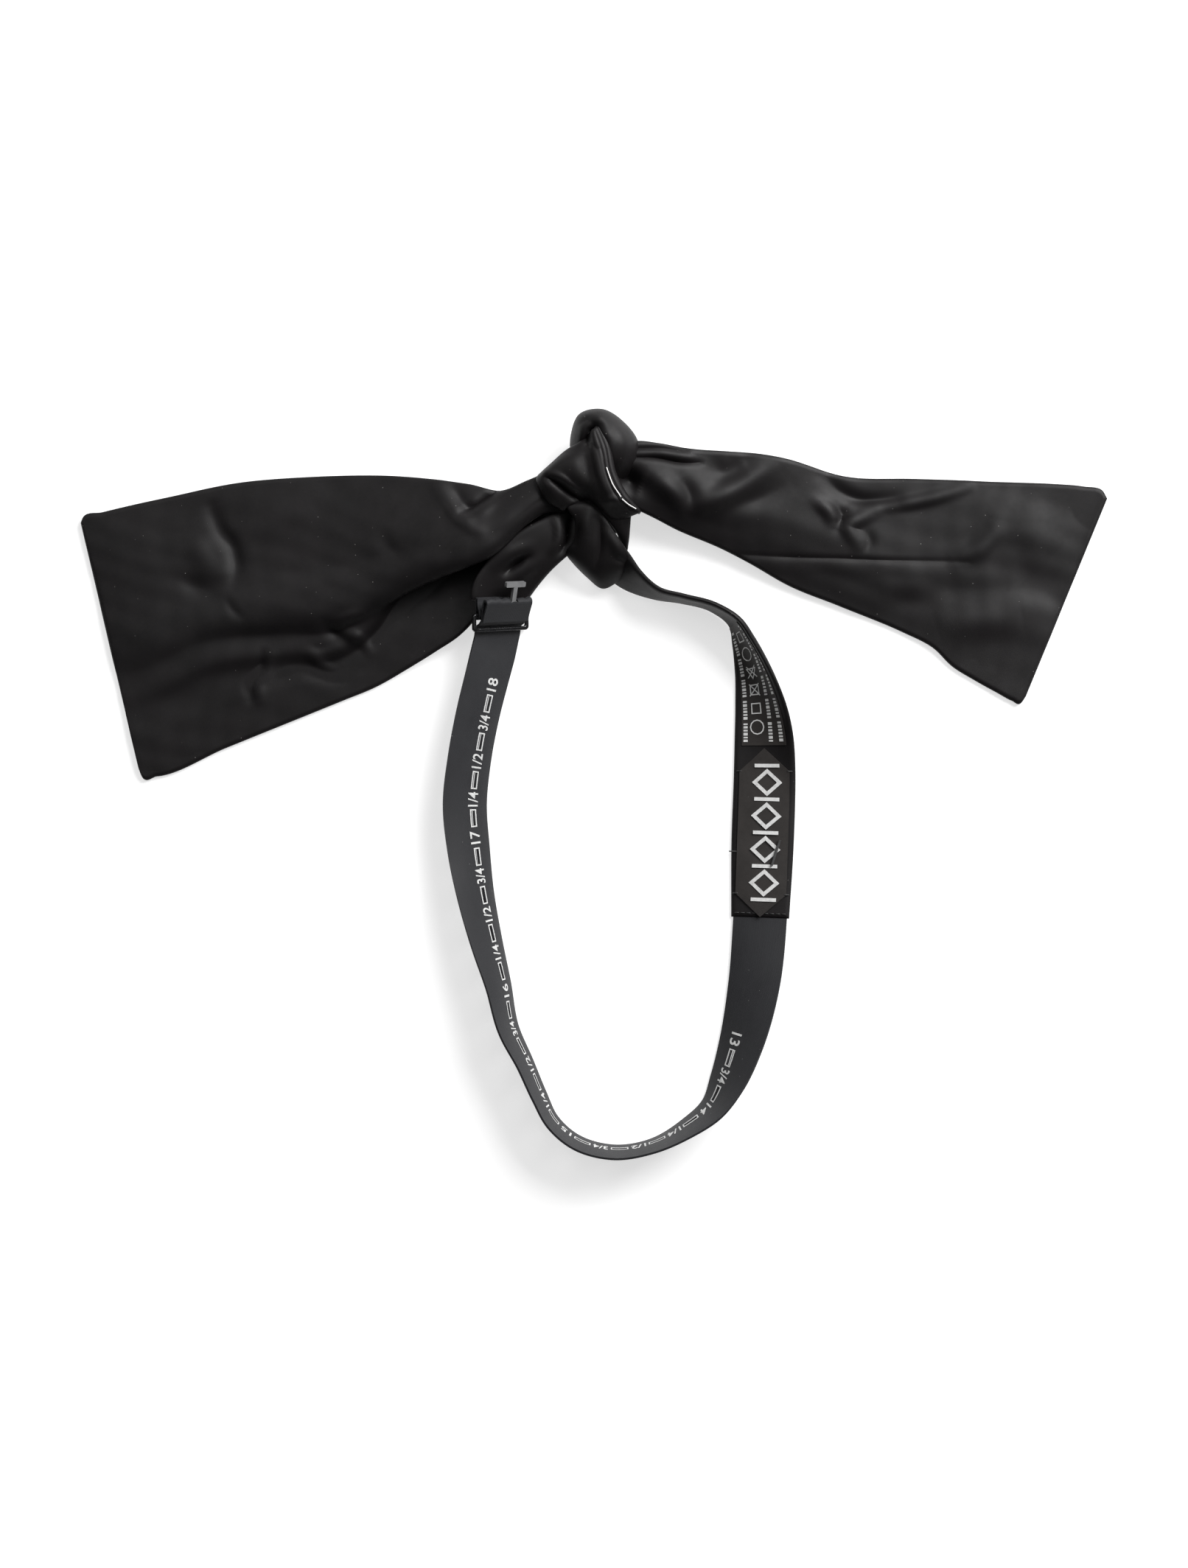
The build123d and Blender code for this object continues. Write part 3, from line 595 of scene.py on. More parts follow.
# ---------------------------------------------------------------- size tape
# A strip of black grosgrain with woven white sizes and a slit between each two of them. It runs from
# the ring round the collar to the right neckband, and its free end is folded round the hook's bar.
TAPE_WIDTH = 17.5
TAPE_THICKNESS = 0.7
TAPE_DARK = (0.0100, 0.0102, 0.0120)
TAPE_LIGHT = (0.0165, 0.0168, 0.0190)
TAPE_RUN = [
    # middle of the strip in plan, lean of its outer edge, curl across it
    (-32.5, 43.4, 37, 0), (-34.3, 34.6, 38, 10), (-36.9, 22.8, 38, 18), (-39.6, 8.0, 38, 20),
    (-41.1, -6.6, 37, 20), (-39.8, -21.3, 40, 20), (-37.5, -35.2, 48, 20), (-33.9, -50.8, 56, 18),
    (-30.2, -64.8, 64, 14), (-27.1, -79.6, 70, 8), (-22.1, -90.2, 74, 6), (-17.5, -101.0, 76, 4),
    (-13.3, -109.2, 78, 4), (-6.7, -115.2, 79, 4), (6.3, -119.0, 80, 4), (18.9, -117.0, 80, 4),
    (29.9, -111.4, 74, 4), (38.3, -104.8, 66, 4), (43.1, -96.0, 52, 6), (47.4, -84.2, 39, 8),
    (52.0, -64.5, 20, 6), (54.1, -43.4, 5, 2),
]
NECKBAND_RUN = [
    # the same for the right neckband, with its width
    (54.1, -43.4, 5, 2, 18.6), (54.9, -19.4, 3, 2, 20.0), (55.6, 4.0, 6, -4, 19.8),
    (55.6, 14.0, 14, -12, 19.5), (55.2, 25.2, 30, -28, 19.0), (53.6, 37.0, 50, -42, 18.0),
    (50.2, 46.6, 68, -34, 17.2), (46.6, 52.6, 80, -16, 17.0), (39.0, 57.4, 85, -4, 16.0),
    (28.7, 60.0, 85, 2, 15.0), (20.3, 61.6, 80, 6, 15.0),
    (12.3, 66.0, 62, 8, 15.0), (5.9, 72.4, 40, 8, 14.0),
]
SLOT_COUNT = 18
SLOT_PITCH = 12.7
SLOT_LENGTH = 5.0
FIRST_SLOT = 17.3
SLOT_MIDDLE = -2.0
SLOT_SIDES = (SLOT_MIDDLE - 0.45, SLOT_MIDDLE + 0.45)
NOTCH_SIDES = (SLOT_MIDDLE - 1.35, SLOT_MIDDLE + 1.35)
# Path of the tape's free end beside the ring's pivot: along the tape, then out of it.
TAPE_END = [
    (-1.4, 3.15), (0.6, 3.4), (2.6, 3.75), (4.0, 4.05), (4.9, 4.2), (5.6, 4.0), (6.1, 3.15),
    (5.6, 2.3), (4.6, 2.12), (2.0, 2.15), (-1.4, 2.15), (-2.7, 1.3), (-3.9, 0.0), (-7.1, -0.2),
]
HOOK_FROM_RING = (4.7, 3.15)


class Band:
    """A long strip: its middle line, lean, curl and width at any distance along it."""

    def __init__(self, rows, base=0.5):
        self.rows = np.array(rows, float)
        steps = np.linalg.norm(np.diff(self.rows[:, :2], axis=0), axis=1)
        self.spots = np.concatenate([[0], np.cumsum(steps)])
        self.slopes = np.gradient(self.rows, self.spots, axis=0)
        self.length = self.spots[-1]
        self.base = base

    def values(self, along):
        along = np.clip(along, 0, self.length)
        first = np.clip(np.searchsorted(self.spots, along, side="right") - 1, 0, len(self.spots) - 2)
        gap = (self.spots[first + 1] - self.spots[first])[..., None]
        t = (along - self.spots[first])[..., None] / gap
        return smooth_between(self.rows, self.slopes, first, t, gap)

    def point(self, along, across, lift=0.0):
        """Points on the strip's upper side: distance along it, distance outwards, and height over it."""
        along, across, lift = np.broadcast_arrays(
            np.asarray(along, float), np.asarray(across, float), np.asarray(lift, float)
        )
        here = self.values(along)
        way = self.values(along + 0.4) - self.values(along - 0.4)
        way = way[..., :2] / np.linalg.norm(way[..., :2], axis=-1, keepdims=True)
        outward = np.stack([way[..., 1], -way[..., 0]], axis=-1)
        lean, width = np.radians(here[..., 2]), here[..., 4]
        curl = 2 * np.radians(np.where(np.abs(here[..., 3]) < 0.01, 0.01, here[..., 3])) / width
        level = (np.sin(lean) - np.sin(lean - curl * across)) / curl
        height = (np.cos(lean - curl * across) - np.cos(lean)) / curl
        foot = (np.cos(lean + curl * width / 2) - np.cos(lean)) / curl
        middle = here[..., 5] if here.shape[-1] > 5 else self.base - foot
        slope = lean - curl * across
        level, height = level - lift * np.sin(slope), middle + height + lift * np.cos(slope)
        return np.concatenate([here[..., :2] + outward * level[..., None], height[..., None]], axis=-1)


# The hardware's own directions come from the two hinges: both turn about the line across the tape.
hinges = {joint["name"]: joint for joint in frame["joints"]}
ring_pivot = Vector(hinges["ring_tilt"]["pos_m"]) / MM
hook_pivot = Vector(hinges["hook_swing"]["pos_m"]) / MM
inward = Vector(hinges["hook_swing"]["axis"])
between = hook_pivot - ring_pivot
between = (between - inward * between.dot(inward)).normalized()
tilt = math.atan2(HOOK_FROM_RING[1], HOOK_FROM_RING[0])
to_knot = (between * math.cos(tilt) + between.cross(inward) * math.sin(tilt)).normalized()
out_of_tape = inward.cross(to_knot).normalized()


def hardware_strip(path, columns):
    """A strip lying across the hardware, through points beside the ring's pivot."""
    path = np.array(path, float)
    middles = np.array(ring_pivot) + path[:, :1] * np.array(to_knot) + path[:, 1:] * np.array(out_of_tape)
    return middles[:, None] - np.array(columns)[None, :, None] * np.array(inward)


GROSGRAIN = finish(
    "grosgrain", TAPE_DARK, TAPE_LIGHT, (0.55, 0.7), (0.42 * MM, 0.5 * MM, 0.4), 0.05 * MM,
    lint=0.4, patches=60.0, sheen=0.04, spec=0.25,
)
WHITE_WEAVE = finish(
    "white_woven_thread", (0.42, 0.42, 0.42), (0.62, 0.62, 0.61), (0.6, 0.75),
    (0.3 * MM, 0.31 * MM, 0.5), 0.06 * MM, patches=900.0,
)

tape_band = Band(
    [(x, y, lean, curl, TAPE_WIDTH) for x, y, lean, curl in TAPE_RUN] + NECKBAND_RUN[1:]
)
seam = float(tape_band.spots[len(TAPE_RUN) - 1])
half_tape = TAPE_WIDTH / 2
tape_columns = [-half_tape, -8.6, -8.1, -7.0, -5.8, -4.6, NOTCH_SIDES[0], *SLOT_SIDES, NOTCH_SIDES[1]]
tape_columns += [0.8, 2.4, 4.0, 5.6, 7.0, 8.1, 8.6, half_tape]
slot_starts = [FIRST_SLOT + SLOT_PITCH * number - SLOT_LENGTH / 2 for number in range(SLOT_COUNT)]
tape_rows = [np.linspace(1.2, slot_starts[0], 20)]
for start in slot_starts:
    tape_rows.append(np.linspace(start, start + SLOT_LENGTH, 6)[1:])
    tape_rows.append(np.linspace(start + SLOT_LENGTH, start + SLOT_PITCH, 8)[1:])
tape_rows.append(np.linspace(tape_rows[-1][-1], seam + 8, 40)[1:])
tape_rows = np.concatenate(tape_rows)
end_path = through(TAPE_END, even(64))
end_rows = hardware_strip(end_path, tape_columns)
ragged = np.sin(np.array(tape_columns) * 2.1) + 0.6 * np.sin(np.array(tape_columns) * 4.7 + 1)
top_of_fold = np.exp(-(((end_path[:, 0] - 6.1) / 0.9) ** 2))
end_rows += 0.28 * top_of_fold[:, None, None] * ragged[None, :, None] * np.array(to_knot)
tape_surface = np.concatenate([end_rows, tape_band.point(tape_rows[:, None], np.array(tape_columns)[None])])
size_tape = cloth_piece("size_tape_cloth", tape_surface, GROSGRAIN)
cut_faces = set()
slot_column = tape_columns.index(SLOT_SIDES[0])
for row, along in enumerate(tape_rows[:-1]):
    phase = (along - slot_starts[0] + 0.01) % SLOT_PITCH
    if slot_starts[0] - 0.01 < along < slot_starts[-1] + SLOT_LENGTH - 0.1 and phase < SLOT_LENGTH - 0.1:
        cut_faces.add((len(end_rows) + row, slot_column))
for row in np.flatnonzero(end_path[:-1, 0] > 5.0):
    cut_faces.update((row, column) for column in range(slot_column - 1, slot_column + 2))
bpy.ops.object.mode_set(mode="EDIT")
bpy.ops.mesh.select_mode(type="FACE")
bpy.ops.mesh.select_all(action="DESELECT")
bpy.ops.object.mode_set(mode="OBJECT")
for row, column in cut_faces:
    size_tape.data.polygons[row * (len(tape_columns) - 1) + column].select = True
bpy.ops.object.mode_set(mode="EDIT")
bpy.ops.mesh.delete(type="FACE")
bpy.ops.object.mode_set(mode="OBJECT")
thicken(size_tape, TAPE_THICKNESS)
settle(size_tape, "tie", "grosgrain", "size_tape")

# ---------------------------------------------------------------- woven sizes on the tape
# White thread woven into the tape: the collar sizes in inches, read from the tape's inner edge, and a
# closed border round each slit. They stand a hair above the cloth.
SIZE_HEIGHT = 4.1
SIZE_LENGTHS = {2: 4.2, 3: 4.9}
BORDER_CORNERS = [(-2.75, -1.05), (2.75, -1.05), (2.75, 1.05), (-2.75, 1.05)]
BORDER_WIDTH = 0.42
WOVEN_LIFT = TAPE_THICKNESS / 2 + 0.06
WOVEN_THICKNESS = 0.08
STROKE_STEP = 1.4  # a long line of thread is laid in steps of about this length
sizes = []
for whole in (18, 17, 16, 15):
    sizes += [str(whole), "3/4", "1/2", "1/4"]
sizes += ["14", "3/4", "13"]


def joined(name, parts):
    clear_selection()
    for part in parts:
        part.select_set(True)
    bpy.context.view_layer.objects.active = parts[0]
    bpy.ops.object.join()
    parts[0].name = name
    return parts[0]


def stroke(band, corners, width, lift, closed=False):
    """A flat line of thread along corners given as (along, outwards) on a band."""
    corners = [np.array(corner, float) for corner in corners]
    if closed:
        corners.append(corners[0])
    spots = [corners[0]]
    for a, b in zip(corners, corners[1:]):
        count = max(1, round(np.linalg.norm(b - a) / STROKE_STEP))
        spots += [a + (b - a) * step / count for step in range(1, count + 1)]
    spots = np.array(spots)
    ways = np.diff(spots, axis=0)
    ways /= np.linalg.norm(ways, axis=1, keepdims=True)
    last = ways[:1] if closed else ways[-1:]
    before = np.concatenate([ways[-1:] if closed else ways[:1], ways])
    after = np.concatenate([ways, last])
    middle = before + after
    middle /= np.linalg.norm(middle, axis=1, keepdims=True)
    sides = np.stack([-middle[:, 1], middle[:, 0]], axis=1)
    reach = width / 2 / np.clip((middle * after).sum(axis=1, keepdims=True), 0.5, 1)
    grid = np.stack([spots - sides * reach, spots + sides * reach], axis=1)
    return cloth_piece("thread", band.point(grid[..., 0], grid[..., 1], lift), WHITE_WEAVE)


def woven_size(label, along):
    """A size laid on the tape, its foot towards the inner edge and its reading towards the ring."""
    clear_selection()
    bpy.ops.object.text_add()
    text = bpy.context.object
    text.data.body = label
    text.data.size = 1
    text.data.resolution_u = 3
    text.data.offset = 0.012
    bpy.ops.object.convert(target="MESH")
    figure = bpy.context.object
    flat = np.array([vertex.co[:2] for vertex in figure.data.vertices])
    low, high = flat.min(axis=0), flat.max(axis=0)
    flat = (flat - (low + high) / 2) / (high - low)
    reach = along - flat[:, 0] * SIZE_LENGTHS[len(label)]
    height = SLOT_MIDDLE + flat[:, 1] * SIZE_HEIGHT
    laid = tape_band.point(reach, height, WOVEN_LIFT) * MM
    figure.data.vertices.foreach_set("co", laid.astype(np.float32).ravel())
    figure.data.materials.append(WHITE_WEAVE)
    figure.data.update()
    return figure


figures = []
borders = []
for number, label in enumerate(sizes):
    middle = FIRST_SLOT + SLOT_PITCH * (number - 0.5)
    figures.append(woven_size(label, middle))
    if number < SLOT_COUNT:
        corners = [(middle + SLOT_PITCH / 2 + a, SLOT_MIDDLE + b) for a, b in BORDER_CORNERS]
        borders.append(stroke(tape_band, corners, BORDER_WIDTH, WOVEN_LIFT, closed=True))
for name, parts in (("woven_sizes", figures), ("woven_slot_borders", borders)):
    woven = thicken(joined(name, parts), WOVEN_THICKNESS)
    settle(woven, "tie", "white_thread")

# ---------------------------------------------------------------- ring loop, ring and hook
# A short grosgrain loop holds the ring and runs up between the silks of the left neckband. The ring is
# flattened dark wire, and the hook is a T cut from pale grey plate. Both keep their real shapes.
RING_LOOP_WIDTH = 17.0
RING_LOOP_THICKNESS = 0.5
RING_LOOP_SHIFT = 0.6  # towards the tape's outer edge
RING_LOOP_PATH = [
    (5.4, -1.9), (4.2, -1.75), (2.8, -1.5), (1.2, -1.15), (0.0, -1.25), (-1.0, -0.8), (-1.28, 0.0),
    (-0.95, 0.85), (0.0, 1.25), (1.1, 0.95), (2.8, -0.3), (4.2, -0.9), (5.4, -1.2),
]
loop_columns = np.linspace(-RING_LOOP_WIDTH / 2, RING_LOOP_WIDTH / 2, 12) + RING_LOOP_SHIFT
ring_loop = cloth_piece(
    "ring_loop_cloth", hardware_strip(through(RING_LOOP_PATH, even(70)), loop_columns), GROSGRAIN
)
thicken(ring_loop, RING_LOOP_THICKNESS)
settle(ring_loop, "tie", "grosgrain", "ring_loop")
DARK_WIRE = finish(
    "dark_wire", (0.018, 0.018, 0.02), (0.05, 0.05, 0.052), (0.18, 0.34), (1.0 * MM, 1.0 * MM, 0.0),
    0.004 * MM, patches=300.0, metal=0.85,
)
PALE_PLATE = finish(
    "pale_grey_plate", (0.14, 0.14, 0.143), (0.2, 0.2, 0.203), (0.38, 0.55), (0.8 * MM, 0.8 * MM, 0.0),
    0.006 * MM, patches=350.0, metal=0.2,
)
for node, material in (("slide_ring", DARK_WIRE), ("t_hook", PALE_PLATE)):
    part = frame["nodes"][node]
    part.data.materials.clear()
    part.data.materials.append(material)

# ---------------------------------------------------------------- left neckband
# A narrow silk tube with interlining, from the knot down to the ring. The ring loop is sewn into its
# lower end.
LEFT_NECKBAND_RUN = [
    # middle in plan, lean, curl, width, height
    (-2.1, 86.4, 4, 4, 12.0, 8.0), (-12.8, 79.7, 12, 8, 14.5, 10.0), (-20.0, 74.4, 18, 8, 17.0, 10.0),
    (-27.2, 66.6, 24, 8, 19.0, 8.4), (-31.2, 60.4, 29, 6, 19.4, 6.9), (-32.0, 57.6, 32, 4, 18.6, 5.8),
]
LEFT_NECKBAND_FOLDS = [
    (-3.2, 1.5, [(-28.6, 69.0), (-25.3, 71.4), (-22.0, 73.4)]),
    (0.9, 2.0, [(-31.6, 71.0), (-27.0, 74.6), (-22.0, 77.0)]),
    (0.8, 1.8, [(-25.6, 66.6), (-21.4, 69.6), (-17.8, 72.6)]),
    (-2.6, 1.5, [(-7.2, 88.0), (-8.4, 83.0), (-9.2, 78.6), (-10.4, 76.0)]),
    (1.2, 1.1, [(-13.4, 75.6), (-11.8, 78.4), (-11.4, 82.4), (-12.6, 86.0)]),
]
BAND_CORE = 0.6


def neckband_layers(prefix, band, start, end, folds=()):
    """The two silks of a neckband and the interlining between them."""
    along = start + (end - start) * crowded(round((end - start) * 1.3))
    half = band.values(along)[:, 4:5] / 2
    surface = band.point(along[:, None], half * (2 * crowded(34)[None] - 1))
    surface = press_folds(surface, folds)
    return bag_layers(prefix, surface, surface[9:-9:2, 5:-5:2], BAND_CORE, closed_end=True)


left_band = Band(LEFT_NECKBAND_RUN)
front, back, core = neckband_layers("left_neckband", left_band, 0, left_band.length, LEFT_NECKBAND_FOLDS)
settle(front, "tie", "silk_satin", "left_neckband_front_silk")
settle(back, "tie", "silk_satin", "left_neckband_back_silk")
settle(core, "tie", "wool_interlining", "left_neckband_interlining")

# ---------------------------------------------------------------- right neckband
# The same tube on the other side. It leaves the knot standing on edge and turns flat before the seam,
# where the tape goes in between its silks.
right_band = Band(NECKBAND_RUN)
front, back, core = neckband_layers("right_neckband", right_band, 0, right_band.length)
settle(front, "tie", "silk_satin", "right_neckband_inner_silk")
settle(back, "tie", "silk_satin", "right_neckband_outer_silk")
settle(core, "tie", "wool_interlining", "right_neckband_interlining")

# ---------------------------------------------------------------- knot
# Both bands cross and turn round each other: a back fold at the bottom, a loop that stands up at the
# top, the wrap that crosses over, and two folds that come out below it. Each is a flattened tube.
KNOT_THICKNESS = 1.5
WRAP_ROWS = [
    [(2.3, 114.1, 18), (4.9, 107.8, 19), (6.6, 100.2, 19), (9.7, 93.9, 18), (12.6, 89.6, 16),
     (14.8, 87.2, 14)],
    [(1.3, 115.5, 20.2), (4.2, 108.8, 21.2), (6.1, 99.7, 21.4), (9.3, 93.4, 20.4), (13.1, 88.9, 18.4),
     (14.8, 87.4, 17)],
    [(-0.3, 114.1, 21), (2.3, 107.4, 22.2), (4.0, 98.7, 22.2), (6.9, 92.0, 21), (10.5, 88.2, 18),
     (12.1, 86.5, 15.5)],
    [(-2.5, 111.7, 20), (-0.8, 105.0, 21.8), (0.6, 97.8, 21.6), (3.0, 91.0, 19.5), (6.1, 86.7, 16.4),
     (7.3, 85.0, 14)],
    [(-5.1, 109.8, 18.5), (-4.7, 104.0, 21.2), (-3.7, 98.7, 21), (-1.8, 94.4, 18.9), (0.1, 91.5, 16.4),
     (1.1, 89.8, 14.5)],
    [(-9.0, 107.4, 17), (-9.5, 103.0, 20.4), (-8.5, 99.2, 20.4), (-6.1, 95.8, 18.6), (-3.7, 93.4, 16.6),
     (-2.3, 91.8, 15)],
    [(-13.3, 103.5, 15.8), (-13.8, 100.6, 19), (-12.8, 97.8, 19.4), (-10.4, 94.4, 18.2), (-7.5, 92.0, 16.4),
     (-5.6, 90.5, 15.4)],
    [(-16.2, 100.9, 14.5), (-16.4, 98.7, 17.6), (-15.5, 96.1, 18), (-13.3, 92.7, 17.2), (-10.4, 90.5, 15.8),
     (-8.5, 89.4, 15)],
    [(-17.9, 99.2, 13), (-17.9, 97.5, 15.2), (-16.9, 94.9, 15.8), (-14.5, 91.5, 15.4), (-11.4, 89.6, 14.6),
     (-9.5, 88.4, 14)],
    [(-16.7, 98.7, 12), (-16.4, 96.8, 13.6), (-15.5, 94.6, 14), (-13.5, 92.0, 13.8), (-10.9, 90.1, 13.4),
     (-9.0, 89.1, 13)],
]
WRAP_FOLDS = [
    (-2.6, 1.3, [(-14.6, 98.6), (-11.9, 97.0), (-8.5, 94.4), (-4.7, 91.6)]),
    (0.9, 1.1, [(-15.0, 100.0), (-11.4, 98.8), (-7.1, 96.0), (-3.2, 93.2)]),
    (-0.7, 0.32, [(0.9, 114.6), (3.4, 108.3), (5.2, 99.4), (8.3, 93.1), (12.1, 88.9)]),
    (-0.6, 0.32, [(-0.1, 114.1), (2.2, 107.8), (4.1, 98.7), (7.2, 92.2), (10.7, 88.3)]),
    (0.4, 0.8, [(-1.6, 112.0), (0.4, 106.0), (2.2, 98.4), (5.2, 91.6)]),
    (-0.9, 2.4, [(-2.6, 106.0), (-2.0, 101.0), (-1.0, 96.6)]),
    (0.3, 2.4, [(-7.4, 106.0), (-6.6, 101.8), (-5.6, 97.8)]),
    (0.8, 1.2, [(3.0, 90.6), (6.6, 91.4), (10.0, 91.0)]),
    (-2.6, 1.3, [(-1.9, 113.6), (-2.0, 111.4), (-1.7, 109.2)]),
    (0.8, 0.6, [(-0.3, 114.6), (0.1, 111.8), (1.2, 108.4)]),
]
TOP_LOOP_ROWS = [
    [(7.8, 98.0, 8), (12.6, 103.5, 9), (13.1, 110.2, 9), (8.8, 116.0, 9), (1.6, 119.6, 9), (-3.9, 118.2, 9),
     (-6.3, 112.6, 9), (-6.8, 108.3, 9)],
    [(8.3, 97.8, 11), (13.1, 103.3, 12.4), (13.6, 110.2, 12.8), (9.6, 116.0, 13.4), (2.2, 120.4, 14),
     (-4.2, 119.0, 14), (-6.8, 112.6, 13), (-7.1, 108.1, 12)],
    [(6.9, 98.6, 13.6), (11.4, 103.7, 15.8), (12.0, 109.8, 17), (8.2, 114.8, 18), (1.3, 118.8, 19.4),
     (-3.0, 117.4, 19), (-5.1, 112.2, 17.4), (-5.6, 107.8, 15)],
    [(5.9, 99.8, 15.6), (9.0, 104.5, 18.6), (9.4, 109.3, 20), (6.4, 113.6, 20.8), (0.9, 116.7, 21.4),
     (-2.0, 115.5, 20.6), (-3.7, 111.7, 18.8), (-4.4, 107.6, 16)],
    [(4.6, 101.1, 17), (6.0, 105.4, 20), (6.0, 109.3, 21.2), (3.8, 112.6, 21.4), (0.7, 114.6, 19.6),
     (-1.1, 114.1, 17.8), (-2.3, 111.2, 16.2), (-3.2, 107.4, 14.6)],
    [(2.0, 102.1, 17), (3.4, 105.9, 19.4), (3.4, 109.0, 20.2), (1.8, 111.7, 18.4), (0.2, 113.0, 15.4),
     (-0.6, 112.6, 13.4), (-1.3, 110.7, 12.5), (-2.3, 107.4, 12)],
]
TOP_LOOP_FOLDS = [
    (-0.9, 1.2, [(-4.4, 115.4), (-1.6, 116.6), (1.4, 115.6)]),
    (-0.5, 1.6, [(4.0, 117.0), (5.6, 114.6), (6.2, 111.6)]),
]
INNER_BAND_ROWS = [
    [(0.6, 90.5, 15.4), (6.4, 91.0, 15.4), (13.1, 90.5, 15.4)],
    [(2.5, 87.2, 15.2), (7.3, 87.2, 15.4), (12.1, 87.0, 14.8)],
    [(5.4, 83.8, 14.0), (8.8, 83.4, 14.2), (11.7, 83.1, 13.4)],
    [(7.6, 80.5, 12.4), (9.7, 80.0, 12.6), (11.4, 79.5, 11.8)],
    [(8.6, 77.1, 9.6), (10.0, 76.4, 9.6), (10.9, 75.7, 9.2)],
]
LOWER_FOLD_ROWS = [
    [(-7.1, 93.9, 10), (-4.7, 93.9, 10), (-1.8, 93.7, 10), (0.6, 92.0, 10), (2.5, 89.6, 10)],
    [(-8.3, 91.5, 14.0), (-5.4, 92.5, 14.2), (-2.0, 92.7, 14.2), (0.9, 90.5, 14.2), (3.0, 87.7, 14.0)],
    [(-8.7, 89.1, 14.8), (-5.1, 89.8, 15.4), (-1.5, 89.6, 15.4), (1.6, 87.4, 15.0), (4.2, 84.8, 14.4)],
    [(-6.6, 85.8, 14.2), (-3.7, 85.8, 15.0), (-0.3, 85.3, 15.0), (3.5, 83.4, 14.6), (6.9, 81.0, 14.0)],
    [(-6.1, 81.9, 13.2), (-2.7, 81.4, 14.0), (0.6, 81.0, 14.0), (5.4, 79.5, 13.6), (9.7, 77.1, 12.4)],
    [(-6.8, 78.5, 11.6), (-3.2, 77.1, 12.8), (1.1, 76.6, 12.8), (6.9, 75.7, 12.2), (11.7, 73.8, 10.8)],
    [(-9.0, 75.2, 8.6), (-4.7, 72.8, 10.4), (1.1, 71.4, 10.6), (7.8, 70.9, 10.0), (13.1, 71.8, 8.6)],
    [(-7.1, 72.8, 5.4), (-3.2, 69.4, 7.2), (1.6, 67.0, 7.6), (7.8, 68.0, 7.0), (12.6, 70.4, 5.6)],
    [(-5.1, 70.9, 3.2), (-1.3, 67.0, 3.6), (3.0, 63.6, 3.6), (7.8, 66.1, 3.6), (11.7, 69.4, 3.2)],
]
LOWER_FOLD_FOLDS = [
    (-1.1, 1.3, [(1.6, 85.8), (2.1, 81.0), (1.8, 75.2), (0.6, 70.9)]),
    (0.8, 1.6, [(4.9, 80.5), (7.3, 76.6), (9.3, 72.3)]),
    (0.7, 1.5, [(-1.8, 88.2), (-2.7, 84.3), (-3.2, 80.0)]),
    (-0.9, 0.8, [(-7.6, 90.6), (-4.0, 91.2), (-0.4, 90.4)]),
    (-0.7, 1.0, [(-5.0, 84.6), (-5.2, 81.0), (-6.0, 77.8)]),
    (-0.8, 1.2, [(7.0, 73.4), (10.0, 71.6), (11.6, 70.6)]),
]
BACK_FOLD_ROWS = [
    [(-11.0, 84.0, 5.0), (-4.0, 83.0, 6.0), (4.0, 82.0, 6.0), (9.0, 81.0, 5.0)],
    [(-13.0, 92.0, 6.5), (-4.0, 93.0, 8.0), (4.0, 92.0, 8.0), (11.0, 91.0, 6.5)],
    [(-11.0, 100.0, 7.5), (-3.0, 101.0, 9.5), (5.0, 101.0, 9.5), (10.5, 99.0, 7.5)],
    [(-6.0, 108.0, 7.5), (-1.0, 110.0, 10.0), (4.0, 110.0, 10.0), (8.5, 107.0, 8.0)],
    [(-2.0, 114.5, 7.0), (1.0, 115.5, 8.5), (4.0, 114.5, 8.5), (6.5, 112.5, 7.5)],
]


def plump(name, surface, thickness, material):
    """A closed flattened tube round a sheet of points."""
    top = layer_of(surface, thickness / 2, True)
    bottom = layer_of(surface, -thickness / 2, True)
    piece = cloth_piece(name, np.concatenate([top, bottom[:, -2:0:-1], top[:, :1]], axis=1), material)
    bpy.ops.object.mode_set(mode="EDIT")
    bpy.ops.mesh.select_all(action="SELECT")
    bpy.ops.mesh.remove_doubles(threshold=0.002 * MM)
    bpy.ops.mesh.normals_make_consistent(inside=False)
    bpy.ops.object.mode_set(mode="OBJECT")
    bpy.ops.object.shade_smooth_by_angle(angle=math.radians(60))
    return piece


wrap = press_folds(cloth_surface(WRAP_ROWS, crowded(150), crowded(120))[:, ::-1], WRAP_FOLDS)
top_loop = press_folds(cloth_surface(TOP_LOOP_ROWS, crowded(70), crowded(110)), TOP_LOOP_FOLDS)
lower_fold = press_folds(cloth_surface(LOWER_FOLD_ROWS, crowded(110), crowded(90)), LOWER_FOLD_FOLDS)
knot_sheets = [
    ("knot_wrap_cloth", wrap, "knot_wrap"),
    ("knot_loop_cloth", top_loop, "knot_top_loop"),
    ("knot_inner_cloth", cloth_surface(INNER_BAND_ROWS, crowded(50), crowded(36)), "knot_inner_band"),
    ("knot_lower_cloth", lower_fold, "knot_lower_fold"),
    ("knot_back_cloth", cloth_surface(BACK_FOLD_ROWS, crowded(40), crowded(40)), "knot_back_fold"),
]
for name, surface, node in knot_sheets:
    settle(plump(name, surface, KNOT_THICKNESS, SILK), "tie", "silk_satin", node)

